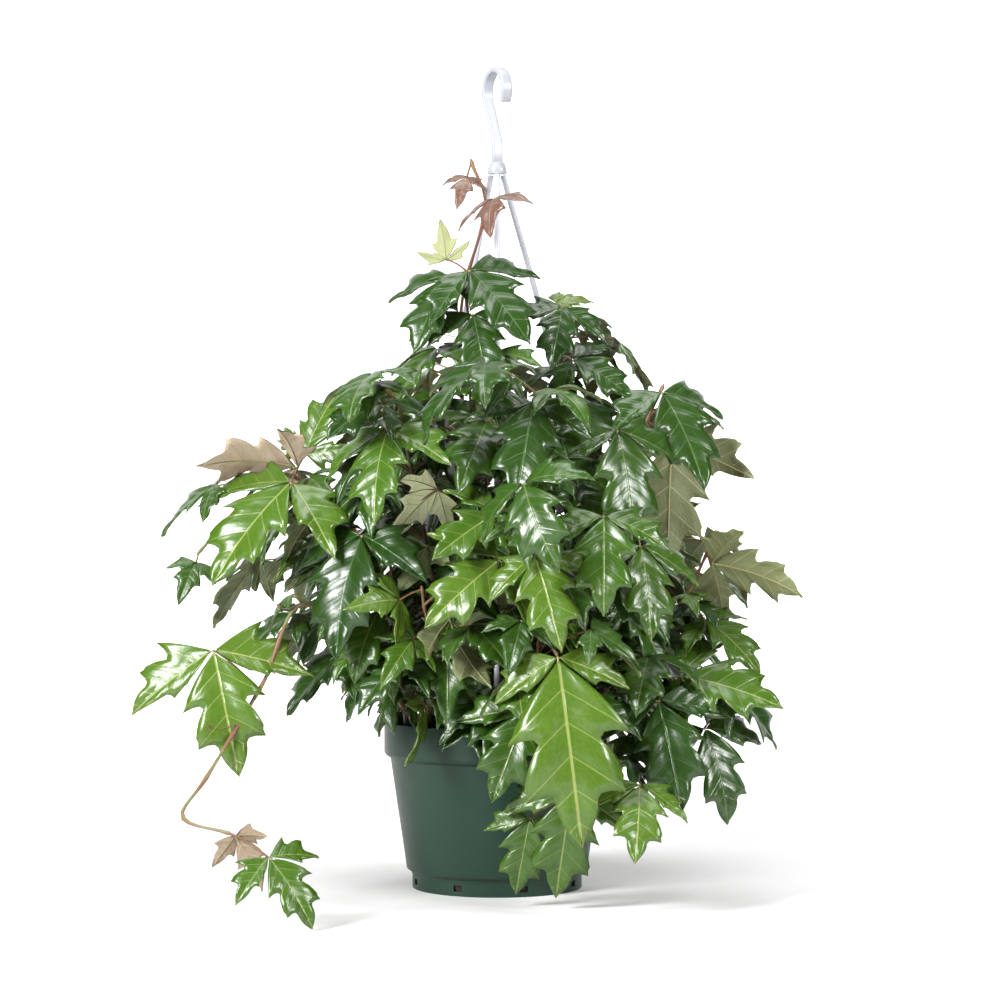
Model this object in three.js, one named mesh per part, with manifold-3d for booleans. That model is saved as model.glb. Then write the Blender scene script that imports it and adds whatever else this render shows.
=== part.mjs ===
// A grape ivy in a round nursery pot with a three-strand hanger.
// Millimetres, +Z up, -Y is the front. The origin is the middle of the pot's underside.
import * as THREE from 'three';
import { mergeVertices } from 'three/addons/utils/BufferGeometryUtils.js';
import Module from 'manifold-3d';

const wasm = await Module();
wasm.setup();

// Driving dimensions.
const potWidth = 152.4;
const potHeight = 112;
const wall = 2;
const clearance = 0.3;
const hookTop = 552;
const strandWidth = 3.9;
const bladeThickness = 0.8;
const stemRadius = 1.4;
const petioleRadius = 0.65;
const stemSteps = 10;
const roundSides = 32;
const rootDepth = 12;
const finestEdge = 0.05; // shorter edges, left where solids join, are closed up

// Sizes that follow from them.
const rimRadius = potWidth / 2;
const rimHeight = potHeight * 0.2;
const bodyTopRadius = rimRadius * 0.945;
const bodyFootRadius = rimRadius * 0.8;
const footRadius = rimRadius * 0.75;
const footHeight = potHeight * 0.09;
const rimWall = wall * 1.3;
const rimFoot = potHeight - rimHeight;
const floorTop = wall + 0.5;
const notches = 8;
const soilTop = potHeight - 12;
const stemStart = soilTop + 4;
const holeRadius = (stemRadius + clearance + 0.1) / Math.cos(Math.PI / 6);
const hookWidth = strandWidth * 2;
const hookThickness = strandWidth * 0.9;
const hookInnerRadius = 12.5;
const junctionTop = hookTop - 64;
const junctionHeight = 8;

// ---- solids ----

function toSolid(geometry) {
  const bare = geometry.index ? geometry.toNonIndexed() : geometry.clone();
  bare.deleteAttribute('normal');
  bare.deleteAttribute('uv');
  const merged = mergeVertices(bare, 1e-4);
  const vertProperties = new Float32Array(merged.attributes.position.array);
  const triVerts = new Uint32Array(merged.index.array);
  return new wasm.Manifold(new wasm.Mesh({ numProp: 3, vertProperties, triVerts }));
}

function toGeometry(solid) {
  const mesh = solid.getMesh();
  const geometry = new THREE.BufferGeometry();
  geometry.setAttribute('position', new THREE.BufferAttribute(mesh.vertProperties, 3));
  geometry.setIndex(new THREE.BufferAttribute(mesh.triVerts, 1));
  return geometry;
}

// A closed profile of [radius, height] points, turned about the Z axis.
function turned(profile, sides) {
  const points = profile.map(([radius, height]) => new THREE.Vector2(radius, height));
  const geometry = new THREE.LatheGeometry(points, sides);
  geometry.rotateX(Math.PI / 2);
  return toSolid(geometry);
}

function box(width, depth, height, centre, turn = 0) {
  const geometry = new THREE.BoxGeometry(width, depth, height);
  geometry.translate(centre[0], centre[1], centre[2]);
  geometry.rotateZ(turn);
  return toSolid(geometry);
}

function roundShape(radius, sides) {
  const shape = new THREE.Shape();
  for (let i = 0; i < sides; i += 1) {
    const angle = (2 * Math.PI * i) / sides;
    const place = [radius * Math.cos(angle), radius * Math.sin(angle)];
    if (i === 0) shape.moveTo(...place);
    else shape.lineTo(...place);
  }
  shape.closePath();
  return shape;
}

function tube(curve, radius, sides, steps) {
  const settings = { extrudePath: curve, steps, bevelEnabled: false };
  return toSolid(new THREE.ExtrudeGeometry(roundShape(radius, sides), settings));
}

// ---- pot and soil ----

function makePot() {
  const solid = turned([
    [0, 0],
    [footRadius, 0],
    [footRadius, footHeight],
    [bodyFootRadius, footHeight + 3],
    [bodyTopRadius, rimFoot - 2],
    [rimRadius - 1, rimFoot],
    [rimRadius, rimFoot + 2],
    [rimRadius, potHeight],
    [rimRadius - rimWall, potHeight],
    [bodyTopRadius - wall, rimFoot - 1],
    [bodyFootRadius - wall, footHeight + 4],
    [footRadius - wall, floorTop],
    [0, floorTop],
  ], roundSides);
  const reach = footRadius - 1;
  let cut = solid;
  for (let i = 0; i < notches; i += 1) {
    const turn = (2 * Math.PI * (i + 0.4)) / notches;
    cut = cut.subtract(box(9, 6, 4, [reach, 0, floorTop + 2.6], turn));
  }
  return cut;
}

function makeSoil(roots) {
  const gap = clearance;
  const plug = turned([
    [0, floorTop + gap],
    [footRadius - wall - gap - 0.2, floorTop + gap],
    [bodyFootRadius - wall - gap - 0.2, footHeight + 4],
    [bodyTopRadius - wall - gap - 0.2, rimFoot - 1],
    [bodyTopRadius - wall - gap, soilTop - 1],
    [bodyTopRadius * 0.6, soilTop],
    [0, soilTop + 1],
  ], roundSides);
  let cut = plug;
  for (const [x, y] of roots) {
    const hole = new THREE.CylinderGeometry(holeRadius, holeRadius, rootDepth * 2, 6);
    hole.rotateX(Math.PI / 2);
    hole.translate(x, y, soilTop);
    cut = cut.subtract(toSolid(hole));
  }
  return cut;
}

// ---- hanger ----

const hookTurn = -Math.PI * 0.35;

function makeHook() {
  const centreHeight = hookTop - hookInnerRadius - hookThickness;
  const outer = hookInnerRadius + hookThickness;
  const inner = hookInnerRadius;
  const tipAngle = -Math.PI / 5;
  const half = hookThickness / 2;
  const shape = new THREE.Shape();
  shape.moveTo(-half, junctionTop - 2);
  shape.lineTo(-half, junctionTop + 14);
  shape.lineTo(-outer, centreHeight - 4);
  shape.lineTo(-outer, centreHeight);
  shape.absarc(0, centreHeight, outer, Math.PI, tipAngle, true);
  shape.absarc(0, centreHeight, inner, tipAngle, Math.PI, false);
  shape.lineTo(-inner, centreHeight - 4);
  shape.lineTo(half, junctionTop + 14);
  shape.lineTo(half, junctionTop - 2);
  shape.closePath();
  const settings = { depth: hookWidth, bevelEnabled: false, curveSegments: 10 };
  const strip = new THREE.ExtrudeGeometry(shape, settings);
  strip.translate(0, 0, -hookWidth / 2);
  strip.rotateX(Math.PI / 2);
  strip.rotateZ(hookTurn);
  const disc = turned([
    [0, junctionTop - junctionHeight],
    [7, junctionTop - junctionHeight],
    [7, junctionTop - 1],
    [6, junctionTop],
    [0, junctionTop],
  ], 16);
  return disc.add(toSolid(strip));
}

function makeStrand(azimuth, bow) {
  const out = new THREE.Vector3(Math.cos(azimuth), Math.sin(azimuth), 0);
  const at = (radius, height) => out.clone().multiplyScalar(radius).setZ(height);
  const rimMiddle = rimRadius - rimWall / 2;
  const top = junctionTop - junctionHeight - clearance - 0.45;
  const span = top - potHeight;
  const curve = new THREE.CatmullRomCurve3([
    at(rimMiddle, potHeight + 2),
    at(rimMiddle * 0.74 + bow, potHeight + span * 0.35),
    at(rimMiddle * 0.38 + bow * 0.8, potHeight + span * 0.7),
    at(4.6, top),
  ]);
  const strand = tube(curve, strandWidth / 2, 6, 9);
  const clip = box(9, 9, 11, [rimMiddle, 0, potHeight - 1.5], azimuth);
  const slotInner = rimRadius - rimWall - clearance - 1.3;
  const slotOuter = rimRadius + clearance;
  const slot = turned([
    [slotInner, potHeight - 20],
    [slotOuter, potHeight - 20],
    [slotOuter, potHeight + clearance],
    [slotInner, potHeight + clearance],
    [slotInner, potHeight - 20],
  ], roundSides);
  return clip.add(strand).subtract(slot);
}

// ---- leaves ----

// Half outlines of a leaflet one unit long: [along the midrib, out from it]. A fully cut leaf has
// two notches a side, and plainSide, with one, serves the small and the grown leaves.
const middleSide = [[0.44, 0.32], [0.44, 0.15], [0.74, 0.26], [0.75, 0.1]];
const outerSide = [[0.4, 0.4], [0.4, 0.18], [0.7, 0.28], [0.71, 0.1]];
const innerSide = [[0.56, 0.18], [0.62, 0.09]];
const plainSide = [[0.5, 0.3], [0.56, 0.14]];
const ribStations = [0.36, 0.68];
const plainRibStations = [0.5];
const fold = 0.22;
const webReach = 0.05;
const plainLength = 46;
const leafMiddle = 0.4;
const hidingReach = 0.6;

// A frame for a blade: it starts at hub, ends at tip and faces towards facing.
function bladeFrame(hub, tip, facing, bend) {
  const chord = tip.clone().sub(hub);
  const along = chord.clone().normalize();
  const normal = facing.clone().addScaledVector(along, -facing.dot(along)).normalize();
  const half = bend / 2;
  const start = along.clone().multiplyScalar(Math.cos(half));
  start.addScaledVector(normal, Math.sin(half));
  const up = normal.clone().multiplyScalar(Math.cos(half));
  up.addScaledVector(along, -Math.sin(half));
  const across = new THREE.Vector3().crossVectors(up, start);
  const length = (chord.length() * half) / Math.sin(half);
  return { hub, start, up, across, length, bend };
}

// A point of the blade, with side as distance from the midrib and lift as height above it.
function bladePoint(frame, along, side, lift) {
  const turn = frame.bend * along;
  const forward = (Math.sin(turn) / frame.bend) * frame.length;
  const drop = ((1 - Math.cos(turn)) / frame.bend) * frame.length;
  const rise = Math.abs(side) * fold * frame.length + lift;
  const point = frame.hub.clone();
  point.addScaledVector(frame.start, forward + rise * Math.sin(turn));
  point.addScaledVector(frame.up, -drop + rise * Math.cos(turn));
  return point.addScaledVector(frame.across, side * frame.length);
}

// The three leaflets: the middle one and one at each side, turned by spread.
function leafFrames(leaf) {
  const frames = [bladeFrame(leaf.hub, leaf.tip, leaf.facing, leaf.bend)];
  const middle = frames[0];
  const reach = leaf.hub.distanceTo(leaf.tip) * leaf.side;
  for (const sign of [1, -1]) {
    const heading = middle.start.clone().multiplyScalar(Math.cos(leaf.spread));
    heading.addScaledVector(middle.across, sign * Math.sin(leaf.spread));
    heading.addScaledVector(middle.up, -0.3).normalize();
    const facing = middle.up.clone().addScaledVector(middle.across, sign * 0.35);
    const tip = leaf.hub.clone().addScaledVector(heading, reach);
    frames.push(bladeFrame(leaf.hub, tip, facing, leaf.bend));
  }
  return frames;
}

// Triangles of one half of a leaflet, from flat places and the numbers of its corners.
function halfFaces(places, corners) {
  const outline = places.map(([along, side]) => new THREE.Vector2(along, side));
  return THREE.ShapeUtils.triangulateShape(outline, []).map((face) => {
    const [a, b, c] = face.map((i) => outline[i]);
    const turn = (b.x - a.x) * (c.y - a.y) - (b.y - a.y) * (c.x - a.x);
    const numbers = face.map((i) => corners[i]);
    return turn > 0 ? numbers : numbers.reverse();
  });
}

// The leaflets as one sheet, joined at the hub by a small web and cut to the hub between them.
function makeSheet(leaf, thickness) {
  const wide = leaf.cut ? middleSide : plainSide;
  const outer = leaf.cut ? outerSide : plainSide;
  const inner = leaf.cut ? innerSide : plainSide;
  const stations = leaf.cut ? ribStations : plainRibStations;
  const [middle, right, left] = leafFrames(leaf);
  const corners = [];
  const corner = (at) => corners.push([at(thickness / 2), at(-thickness / 2)]) - 1;
  const near = (direction) => corner((lift) => leaf.hub.clone()
    .addScaledVector(direction, webReach * middle.length)
    .addScaledVector(middle.up, lift));
  const between = (a, b) => near(a.start.clone().add(b.start).normalize());
  const hub = near(new THREE.Vector3());
  const behind = near(middle.start.clone().negate());
  const leftWeb = between(left, middle);
  const rightWeb = between(middle, right);
  const leaflets = [
    { frame: left, low: outer, high: inner, lowWeb: behind, highWeb: leftWeb },
    { frame: middle, low: wide, high: wide, lowWeb: leftWeb, highWeb: rightWeb },
    { frame: right, low: inner, high: outer, lowWeb: rightWeb, highWeb: behind },
  ];
  const sheetFaces = [];
  const loop = [];
  for (const { frame, low, high, lowWeb, highWeb } of leaflets) {
    const on = ([along, side]) => corner((lift) => bladePoint(frame, along, side, lift));
    const ribPlaces = stations.map((along) => [along, 0]).reverse();
    const rib = ribPlaces.map(on);
    const apex = on([1, 0]);
    const margins = [[low, -1, lowWeb], [high, 1, highWeb]].map(([side, sign, web]) => {
      const places = side.map(([along, out]) => [along, out * sign]);
      const margin = places.map(on);
      const flat = [[0, 0], [0, webReach * sign], ...places, [1, 0], ...ribPlaces];
      sheetFaces.push(...halfFaces(flat, [hub, web, ...margin, apex, ...rib]));
      return margin;
    });
    loop.push(lowWeb, ...margins[0], apex, ...margins[1].reverse());
  }
  const count = corners.length;
  const index = [];
  for (const [a, b, c] of sheetFaces) index.push(a, b, c, count + a, count + c, count + b);
  loop.forEach((a, i) => {
    const b = loop[(i + 1) % loop.length];
    index.push(b, a, count + a, b, count + a, count + b);
  });
  const places = [...corners.map(([top]) => top), ...corners.map(([, under]) => under)];
  const geometry = new THREE.BufferGeometry();
  const positions = places.flatMap((point) => point.toArray());
  geometry.setAttribute('position', new THREE.Float32BufferAttribute(positions, 3));
  geometry.setIndex(index);
  return toSolid(geometry);
}

function makeLeaf(leaf, thickness) {
  const [middle] = leafFrames(leaf);
  const end = leaf.hub.clone().addScaledVector(middle.up, -bladeThickness * 0.38);
  const bow = leaf.node.clone().lerp(end, 0.5);
  bow.z += leaf.node.distanceTo(end) * 0.12;
  const stalk = new THREE.QuadraticBezierCurve3(leaf.node, bow, end);
  const steps = leaf.cut ? 2 : 1;
  return tube(stalk, petioleRadius, 3, steps).add(makeSheet(leaf, thickness));
}

// ---- where the stems and leaves go ----

// Each stem is a hand-laid route from its root in the soil. Besides the sighted leaves further down,
// leaves grow from it alternately, by a rule, and those that find no room are left out: leaves is
// how many are tried, from is the share of its length that stays bare, size is a leaf's length.
const stems = {
  crown: { root: [-10, 8], route: [[-16, 12, 200], [-22, 8, 300], [-24, 0, 390],
    [-8, -12, 455], [-17, -10, 487]],
    leaves: 7, from: 0.25, size: 56 },
  summit: { root: [4, -16], route: [[-4, -26, 220], [-12, -34, 330], [-22, -40, 405]],
    leaves: 5, from: 0.35, size: 60 },
  ridge_right: { root: [20, 12], route: [[32, 12, 220], [40, 8, 320], [46, 0, 385]],
    leaves: 5, from: 0.35, size: 62 },
  front_high: { root: [16, -30], route: [[24, -62, 200], [30, -86, 290], [26, -98, 330]],
    leaves: 3, from: 0.4, size: 58 },
  left_high: { root: [-24, -22], route: [[-42, -44, 210], [-58, -62, 290], [-64, -74, 325]],
    leaves: 5, from: 0.4, size: 60 },
  left_arm: { root: [-42, -2], route: [[-80, -16, 190], [-118, -30, 262],
    [-150, -40, 276], [-195, -60, 228]],
    leaves: 4, from: 0.3, size: 60 },
  left_mid: { root: [-40, -30], route: [[-62, -60, 170], [-72, -78, 240]],
    leaves: 5, from: 0.4, size: 62 },
  left_trail: { root: [-52, -18], route: [[-76, -48, 145], [-125, -88, 195], [-150, -112, 145],
    [-182, -145, 90], [-196, -165, 66], [-166, -182, 58]],
    leaves: 2, from: 0.3, size: 48 },
  front_low: { root: [-22, -44], route: [[-36, -78, 140], [-46, -100, 190], [-48, -106, 205]],
    leaves: 3, from: 0.5, size: 50 },
  centre: { root: [2, -48], route: [[10, -86, 165], [14, -112, 225], [12, -112, 258]],
    leaves: 3, from: 0.4, size: 54 },
  front_right: { root: [24, -48], route: [[26, -88, 145], [28, -124, 178], [38, -146, 166]],
    leaves: 2, from: 0.35, size: 54 },
  drape: { root: [38, -42], route: [[50, -72, 128], [58, -96, 110], [78, -102, 68]],
    leaves: 3, from: 0.3, size: 50 },
  front_mid: { root: [34, -22], route: [[52, -62, 180], [70, -98, 235], [90, -108, 240]],
    leaves: 4, from: 0.4, size: 58 },
  right_high: { root: [26, -4], route: [[62, -14, 220], [94, -20, 300], [110, -26, 336]],
    leaves: 6, from: 0.35, size: 62 },
  right_out: { root: [50, -10], route: [[88, -36, 160], [122, -48, 195], [138, -52, 226]],
    leaves: 5, from: 0.35, size: 58 },
  right_low: { root: [50, -28], route: [[64, -40, 128], [84, -64, 146], [106, -84, 150], [140, -86, 120]],
    leaves: 6, from: 0.3, size: 56 },
  back_high: { root: [0, 34], route: [[-8, 62, 220], [-20, 84, 310], [-26, 112, 300]],
    leaves: 6, from: 0.3, size: 80 },
  back_right: { root: [32, 30], route: [[62, 66, 180], [92, 92, 240], [124, 108, 215]],
    leaves: 6, from: 0.3, size: 78 },
  back_left: { root: [-36, 28], route: [[-70, 62, 180], [-102, 86, 240], [-134, 92, 215]],
    leaves: 6, from: 0.3, size: 78 },
  back_low: { root: [12, 52], route: [[18, 84, 135], [24, 118, 140], [28, 142, 105]],
    leaves: 5, from: 0.3, size: 72 },
};

// A standpoint in front of the pot, for leaves whose places are known as sighted there.
const standpoint = { distance: 2157, eyeHeight: 301, eyeRow: 440, axisColumn: 497, perColumn: 0.674 };

function sighted({ column, row, forward }) {
  const scale = standpoint.perColumn * (1 - forward / standpoint.distance);
  const across = (column - standpoint.axisColumn) * scale;
  const height = standpoint.eyeHeight + (standpoint.eyeRow - row) * scale;
  return new THREE.Vector3(across, -forward, height);
}

// The way a sighted leaf faces.
const faces = {
  front: [0, -0.9, 0.43],
  frontLeft: [-0.45, -0.8, 0.4],
  frontRight: [0.4, -0.8, 0.45],
  top: [0, -0.6, 0.8],
  away: [0, 0.75, 0.65],
};

const sightedLeaves = [
  { stem: 'crown', face: 'top',
    hub: { column: 467, row: 177, forward: 8 }, tip: { column: 457, row: 210, forward: 22 } },
  { stem: 'crown', face: 'away',
    hub: { column: 446, row: 260, forward: -16 }, tip: { column: 440, row: 219, forward: -26 } },
  { stem: 'summit', face: 'top',
    hub: { column: 469, row: 270, forward: 50 }, tip: { column: 530, row: 345, forward: 76 } },
  { stem: 'summit', face: 'frontLeft',
    hub: { column: 452, row: 277, forward: 40 }, tip: { column: 414, row: 355, forward: 64 } },
  { stem: 'summit', face: 'front',
    hub: { column: 473, row: 314, forward: 64 }, tip: { column: 487, row: 388, forward: 90 } },
  { stem: 'ridge_right', face: 'top',
    hub: { column: 556, row: 303, forward: -20 }, tip: { column: 594, row: 303, forward: -30 } },
  { stem: 'ridge_right', face: 'frontRight',
    hub: { column: 572, row: 360, forward: 20 }, tip: { column: 632, row: 400, forward: 30 } },
  { stem: 'front_high', face: 'front',
    hub: { column: 534, row: 402, forward: 108 }, tip: { column: 516, row: 503, forward: 140 } },
  { stem: 'front_high', face: 'frontRight',
    hub: { column: 617, row: 430, forward: 92 }, tip: { column: 632, row: 548, forward: 112 } },
  { stem: 'left_high', face: 'top',
    hub: { column: 437, row: 425, forward: 62 }, tip: { column: 385, row: 400, forward: 84 } },
  { stem: 'left_high', face: 'frontLeft',
    hub: { column: 388, row: 430, forward: 92 }, tip: { column: 375, row: 525, forward: 122 } },
  { stem: 'left_arm', face: 'away',
    hub: { column: 298, row: 467, forward: 34 }, tip: { column: 197, row: 467, forward: 58 } },
  { stem: 'left_arm', face: 'frontLeft',
    hub: { column: 305, row: 455, forward: 22 }, tip: { column: 340, row: 390, forward: 6 } },
  { stem: 'left_arm', face: 'frontLeft',
    hub: { column: 292, row: 482, forward: 64 }, tip: { column: 213, row: 586, forward: 92 } },
  { stem: 'left_arm', face: 'front',
    hub: { column: 196, row: 562, forward: 66 }, tip: { column: 178, row: 605, forward: 78 } },
  { stem: 'left_mid', face: 'frontLeft',
    hub: { column: 362, row: 535, forward: 86 }, tip: { column: 337, row: 660, forward: 108 } },
  { stem: 'left_mid', face: 'away',
    hub: { column: 438, row: 489, forward: 80 }, tip: { column: 392, row: 540, forward: 88 } },
  { stem: 'left_trail', face: 'front',
    hub: { column: 213, row: 650, forward: 110 }, tip: { column: 239, row: 777, forward: 128 } },
  { stem: 'left_trail', face: 'away',
    hub: { column: 235, row: 836, forward: 182 }, tip: { column: 262, row: 892, forward: 188 } },
  { stem: 'left_trail', face: 'frontRight',
    hub: { column: 268, row: 858, forward: 192 }, tip: { column: 312, row: 930, forward: 200 } },
  { stem: 'front_low', face: 'front',
    hub: { column: 400, row: 600, forward: 112 }, tip: { column: 343, row: 610, forward: 132 } },
  { stem: 'front_low', face: 'front',
    hub: { column: 413, row: 640, forward: 106 }, tip: { column: 380, row: 690, forward: 122 } },
  { stem: 'front_low', face: 'front',
    hub: { column: 447, row: 655, forward: 94 }, tip: { column: 447, row: 725, forward: 106 } },
  { stem: 'centre', face: 'front',
    hub: { column: 497, row: 513, forward: 118 }, tip: { column: 432, row: 560, forward: 136 } },
  { stem: 'centre', face: 'front',
    hub: { column: 500, row: 560, forward: 130 }, tip: { column: 425, row: 629, forward: 146 } },
  { stem: 'centre', face: 'front',
    hub: { column: 535, row: 556, forward: 140 }, tip: { column: 562, row: 652, forward: 160 } },
  { stem: 'front_right', face: 'front',
    hub: { column: 558, row: 657, forward: 150 }, tip: { column: 582, row: 848, forward: 166 },
    own: { side: 0.42, bend: 0.5 } },
  { stem: 'front_right', face: 'front',
    hub: { column: 527, row: 710, forward: 108 }, tip: { column: 492, row: 803, forward: 118 } },
  { stem: 'drape', face: 'front',
    hub: { column: 530, row: 818, forward: 104 }, tip: { column: 516, row: 895, forward: 100 } },
  { stem: 'drape', face: 'front',
    hub: { column: 572, row: 790, forward: 112 }, tip: { column: 556, row: 897, forward: 106 } },
  { stem: 'front_mid', face: 'front',
    hub: { column: 603, row: 518, forward: 126 }, tip: { column: 603, row: 618, forward: 148 } },
  { stem: 'front_mid', face: 'frontRight',
    hub: { column: 640, row: 545, forward: 112 }, tip: { column: 650, row: 640, forward: 134 } },
  { stem: 'right_high', face: 'frontRight',
    hub: { column: 661, row: 392, forward: 32 }, tip: { column: 704, row: 490, forward: 64 } },
  { stem: 'right_high', face: 'away',
    hub: { column: 672, row: 440, forward: 22 }, tip: { column: 668, row: 567, forward: 40 } },
  { stem: 'right_out', face: 'away',
    hub: { column: 712, row: 563, forward: 60 }, tip: { column: 803, row: 597, forward: 78 } },
  { stem: 'right_out', face: 'frontRight',
    hub: { column: 705, row: 620, forward: 62 }, tip: { column: 760, row: 675, forward: 82 } },
  { stem: 'right_low', face: 'front',
    hub: { column: 659, row: 700, forward: 110 }, tip: { column: 683, row: 812, forward: 132 } },
  { stem: 'right_low', face: 'frontRight',
    hub: { column: 680, row: 675, forward: 82 }, tip: { column: 783, row: 708, forward: 96 } },
  { stem: 'right_low', face: 'frontRight',
    hub: { column: 705, row: 728, forward: 92 }, tip: { column: 728, row: 825, forward: 100 } },
];

// Even draws between 0 and 1 from a seed, by a linear congruential rule.
function draws(seed) {
  let state = seed * 7919 + 17;
  return () => {
    state = (state * 1664525 + 1013904223) % 4294967296;
    return state / 4294967296;
  };
}

// The route as a smooth curve.
function stemCurve(name) {
  const [x, y] = stems[name].root;
  const points = [[x, y, stemStart], ...stems[name].route].map((place) => new THREE.Vector3(...place));
  return new THREE.CatmullRomCurve3(points, false, 'catmullrom', 0.5);
}

// The bare stem, with its upright root in the soil.
function makeStem(name) {
  const [x, y] = stems[name].root;
  const low = new THREE.Vector3(x, y, soilTop - rootDepth + 1);
  const high = new THREE.Vector3(x, y, stemStart + 1);
  return tube(new THREE.LineCurve3(low, high), stemRadius, 4, 1)
    .add(tube(stemCurve(name), stemRadius, 4, stemSteps));
}

// Petioles leave a stem at the rings of its tube, so that they always start inside it.
function nearestOnStem(curve, place) {
  const rings = curve.getSpacedPoints(stemSteps).filter((point) => point.z > soilTop + 8
    || Math.hypot(point.x, point.y) > rimRadius + 8);
  rings.sort((a, b) => a.distanceTo(place) - b.distanceTo(place));
  return rings[0];
}

function shape(next) {
  return { spread: 1.08 + 0.2 * next(), side: 0.62 + 0.2 * next(), bend: 0.45 + 0.3 * next() };
}

function sightedLeaf(entry, number) {
  const hub = sighted(entry.hub);
  const tip = sighted(entry.tip);
  const facing = new THREE.Vector3(...faces[entry.face]);
  const node = nearestOnStem(stemCurve(entry.stem), hub);
  const cut = hub.distanceTo(tip) > plainLength;
  const leaf = { stem: entry.stem, hub, tip, facing, node, cut, mayFuse: true };
  return { ...leaf, ...shape(draws(number)), ...entry.own };
}

// A leaf that grows at a stem's node: outwards, a little to one side, then hanging.
function grownLeaf(name, order, number) {
  const stem = stems[name];
  const next = draws(number);
  const share = order / (stem.leaves - 1);
  const ring = Math.round(stemSteps * (stem.from + (1 - stem.from) * share));
  const along = ring / stemSteps;
  const curve = stemCurve(name);
  const node = curve.getPointAt(along);
  const tangent = curve.getTangentAt(along);
  const out = new THREE.Vector3(node.x, node.y, 0).normalize();
  const sideways = new THREE.Vector3(-out.y, out.x, 0).multiplyScalar(order % 2 ? 1 : -1);
  const size = stem.size * (1 - 0.3 * share) * (0.9 + 0.2 * next());
  const hub = node.clone().addScaledVector(out, size * (0.25 + 0.15 * next()));
  hub.addScaledVector(sideways, size * (0.3 + 0.2 * next()));
  hub.addScaledVector(tangent, size * 0.15);
  hub.z += size * 0.12;
  const heading = out.clone().multiplyScalar(0.55).addScaledVector(sideways, 0.35);
  heading.z = -0.5 - 0.5 * next();
  const tip = hub.clone().addScaledVector(heading.normalize(), size);
  const facing = out.clone().multiplyScalar(0.75).setZ(0.65);
  return { stem: name, hub, tip, facing, node, cut: false, mayFuse: false, ...shape(next) };
}

// Whether, seen from the front, a grown leaf's middle lies before that of a sighted leaf.
function hides(leaf, other) {
  const here = leaf.hub.clone().lerp(leaf.tip, leafMiddle);
  const there = other.hub.clone().lerp(other.tip, leafMiddle);
  const near = other.hub.distanceTo(other.tip) * hidingReach;
  return here.y < there.y && Math.hypot(here.x - there.x, here.z - there.z) < near;
}

// Small moves, tried in turn until a leaf is clear of its neighbours. A sighted leaf may fuse with
// others of its own stem where none of them clears it.
const nudges = [
  [0, 0, 0], [0, -6, 0], [0, 6, 0], [0, -12, 0], [0, 12, 0], [0, -18, 2], [5, -4, 0], [-5, -4, 0],
  [0, -4, 6], [0, -4, -6], [8, -8, 4], [-8, -8, 4], [8, 8, -4], [-8, 8, -4], [0, -24, 4], [0, 18, 0],
  [12, 0, 8], [-12, 0, 8], [12, 0, -8], [-12, 0, -8],
];

function nudged(leaf, nudge) {
  const move = new THREE.Vector3(...nudge);
  return { ...leaf, hub: leaf.hub.clone().add(move), tip: leaf.tip.clone().add(move) };
}

// ---- putting it together ----

function boxesMeet(a, b) {
  return a.min.every((low, i) => low <= b.max[i] && b.min[i] <= a.max[i]);
}

function crosses(solid, others) {
  const bounds = solid.boundingBox();
  return others.some((other) => boxesMeet(bounds, other.boundingBox())
    && solid.intersect(other).volume() > 1e-6);
}

const names = Object.keys(stems);
const fixed = {
  pot: makePot(),
  soil: makeSoil(names.map((name) => stems[name].root)),
  hanger_hook: makeHook(),
  hanger_strand_right: makeStrand(Math.PI / 6, 14),
  hanger_strand_left: makeStrand((Math.PI * 5) / 6, 0),
  hanger_strand_front: makeStrand(-Math.PI / 2, -6),
};
const grown = {};
const leafSolids = {};
for (const name of names) {
  grown[name] = makeStem(name);
  leafSolids[name] = [];
}

const shown = sightedLeaves.map((entry, i) => sightedLeaf(entry, i + 1));
const wanted = [...shown];
let number = shown.length;
for (const name of names) {
  for (let i = 0; i < stems[name].leaves; i += 1) {
    number += 1;
    const leaf = grownLeaf(name, i, number);
    if (!shown.some((other) => hides(leaf, other))) wanted.push(leaf);
  }
}

const testThickness = bladeThickness + 2 * clearance;
for (const leaf of wanted) {
  const elsewhere = names.filter((name) => name !== leaf.stem);
  const obstacles = [
    ...Object.values(fixed),
    ...elsewhere.flatMap((name) => [grown[name], ...leafSolids[name]]),
  ];
  const own = leafSolids[leaf.stem];
  const clear = (nudge, others) => {
    const trial = makeLeaf(nudged(leaf, nudge), testThickness);
    return trial.boundingBox().min[2] > clearance && !crosses(trial, others);
  };
  const choice = nudges.find((nudge) => clear(nudge, [...obstacles, ...own]))
    ?? (leaf.mayFuse ? nudges.find((nudge) => clear(nudge, obstacles)) : undefined);
  if (choice) own.push(makeLeaf(nudged(leaf, choice), bladeThickness));
}

const looks = {
  pot: { color: 0x3e584c, roughness: 0.5, metalness: 0 },
  soil: { color: 0x33271d, roughness: 0.95, metalness: 0 },
  hanger: { color: 0xeeeeea, roughness: 0.35, metalness: 0 },
  vine: { color: 0x2f5a2c, roughness: 0.4, metalness: 0 },
};

const plant = new THREE.Group();

function place(name, solid, look) {
  const mesh = new THREE.Mesh(toGeometry(solid), new THREE.MeshStandardMaterial(look));
  mesh.name = name;
  plant.add(mesh);
}

place('pot', fixed.pot, looks.pot);
place('soil', fixed.soil, looks.soil);
for (const name of Object.keys(fixed).filter((key) => key.startsWith('hanger'))) {
  place(name, fixed[name], looks.hanger);
}
for (const name of names) {
  const whole = leafSolids[name].reduce((body, leaf) => body.add(leaf), grown[name]);
  place(`vine_${name}`, whole.asOriginal().simplify(finestEdge), looks.vine);
}

export default plant;
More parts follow.
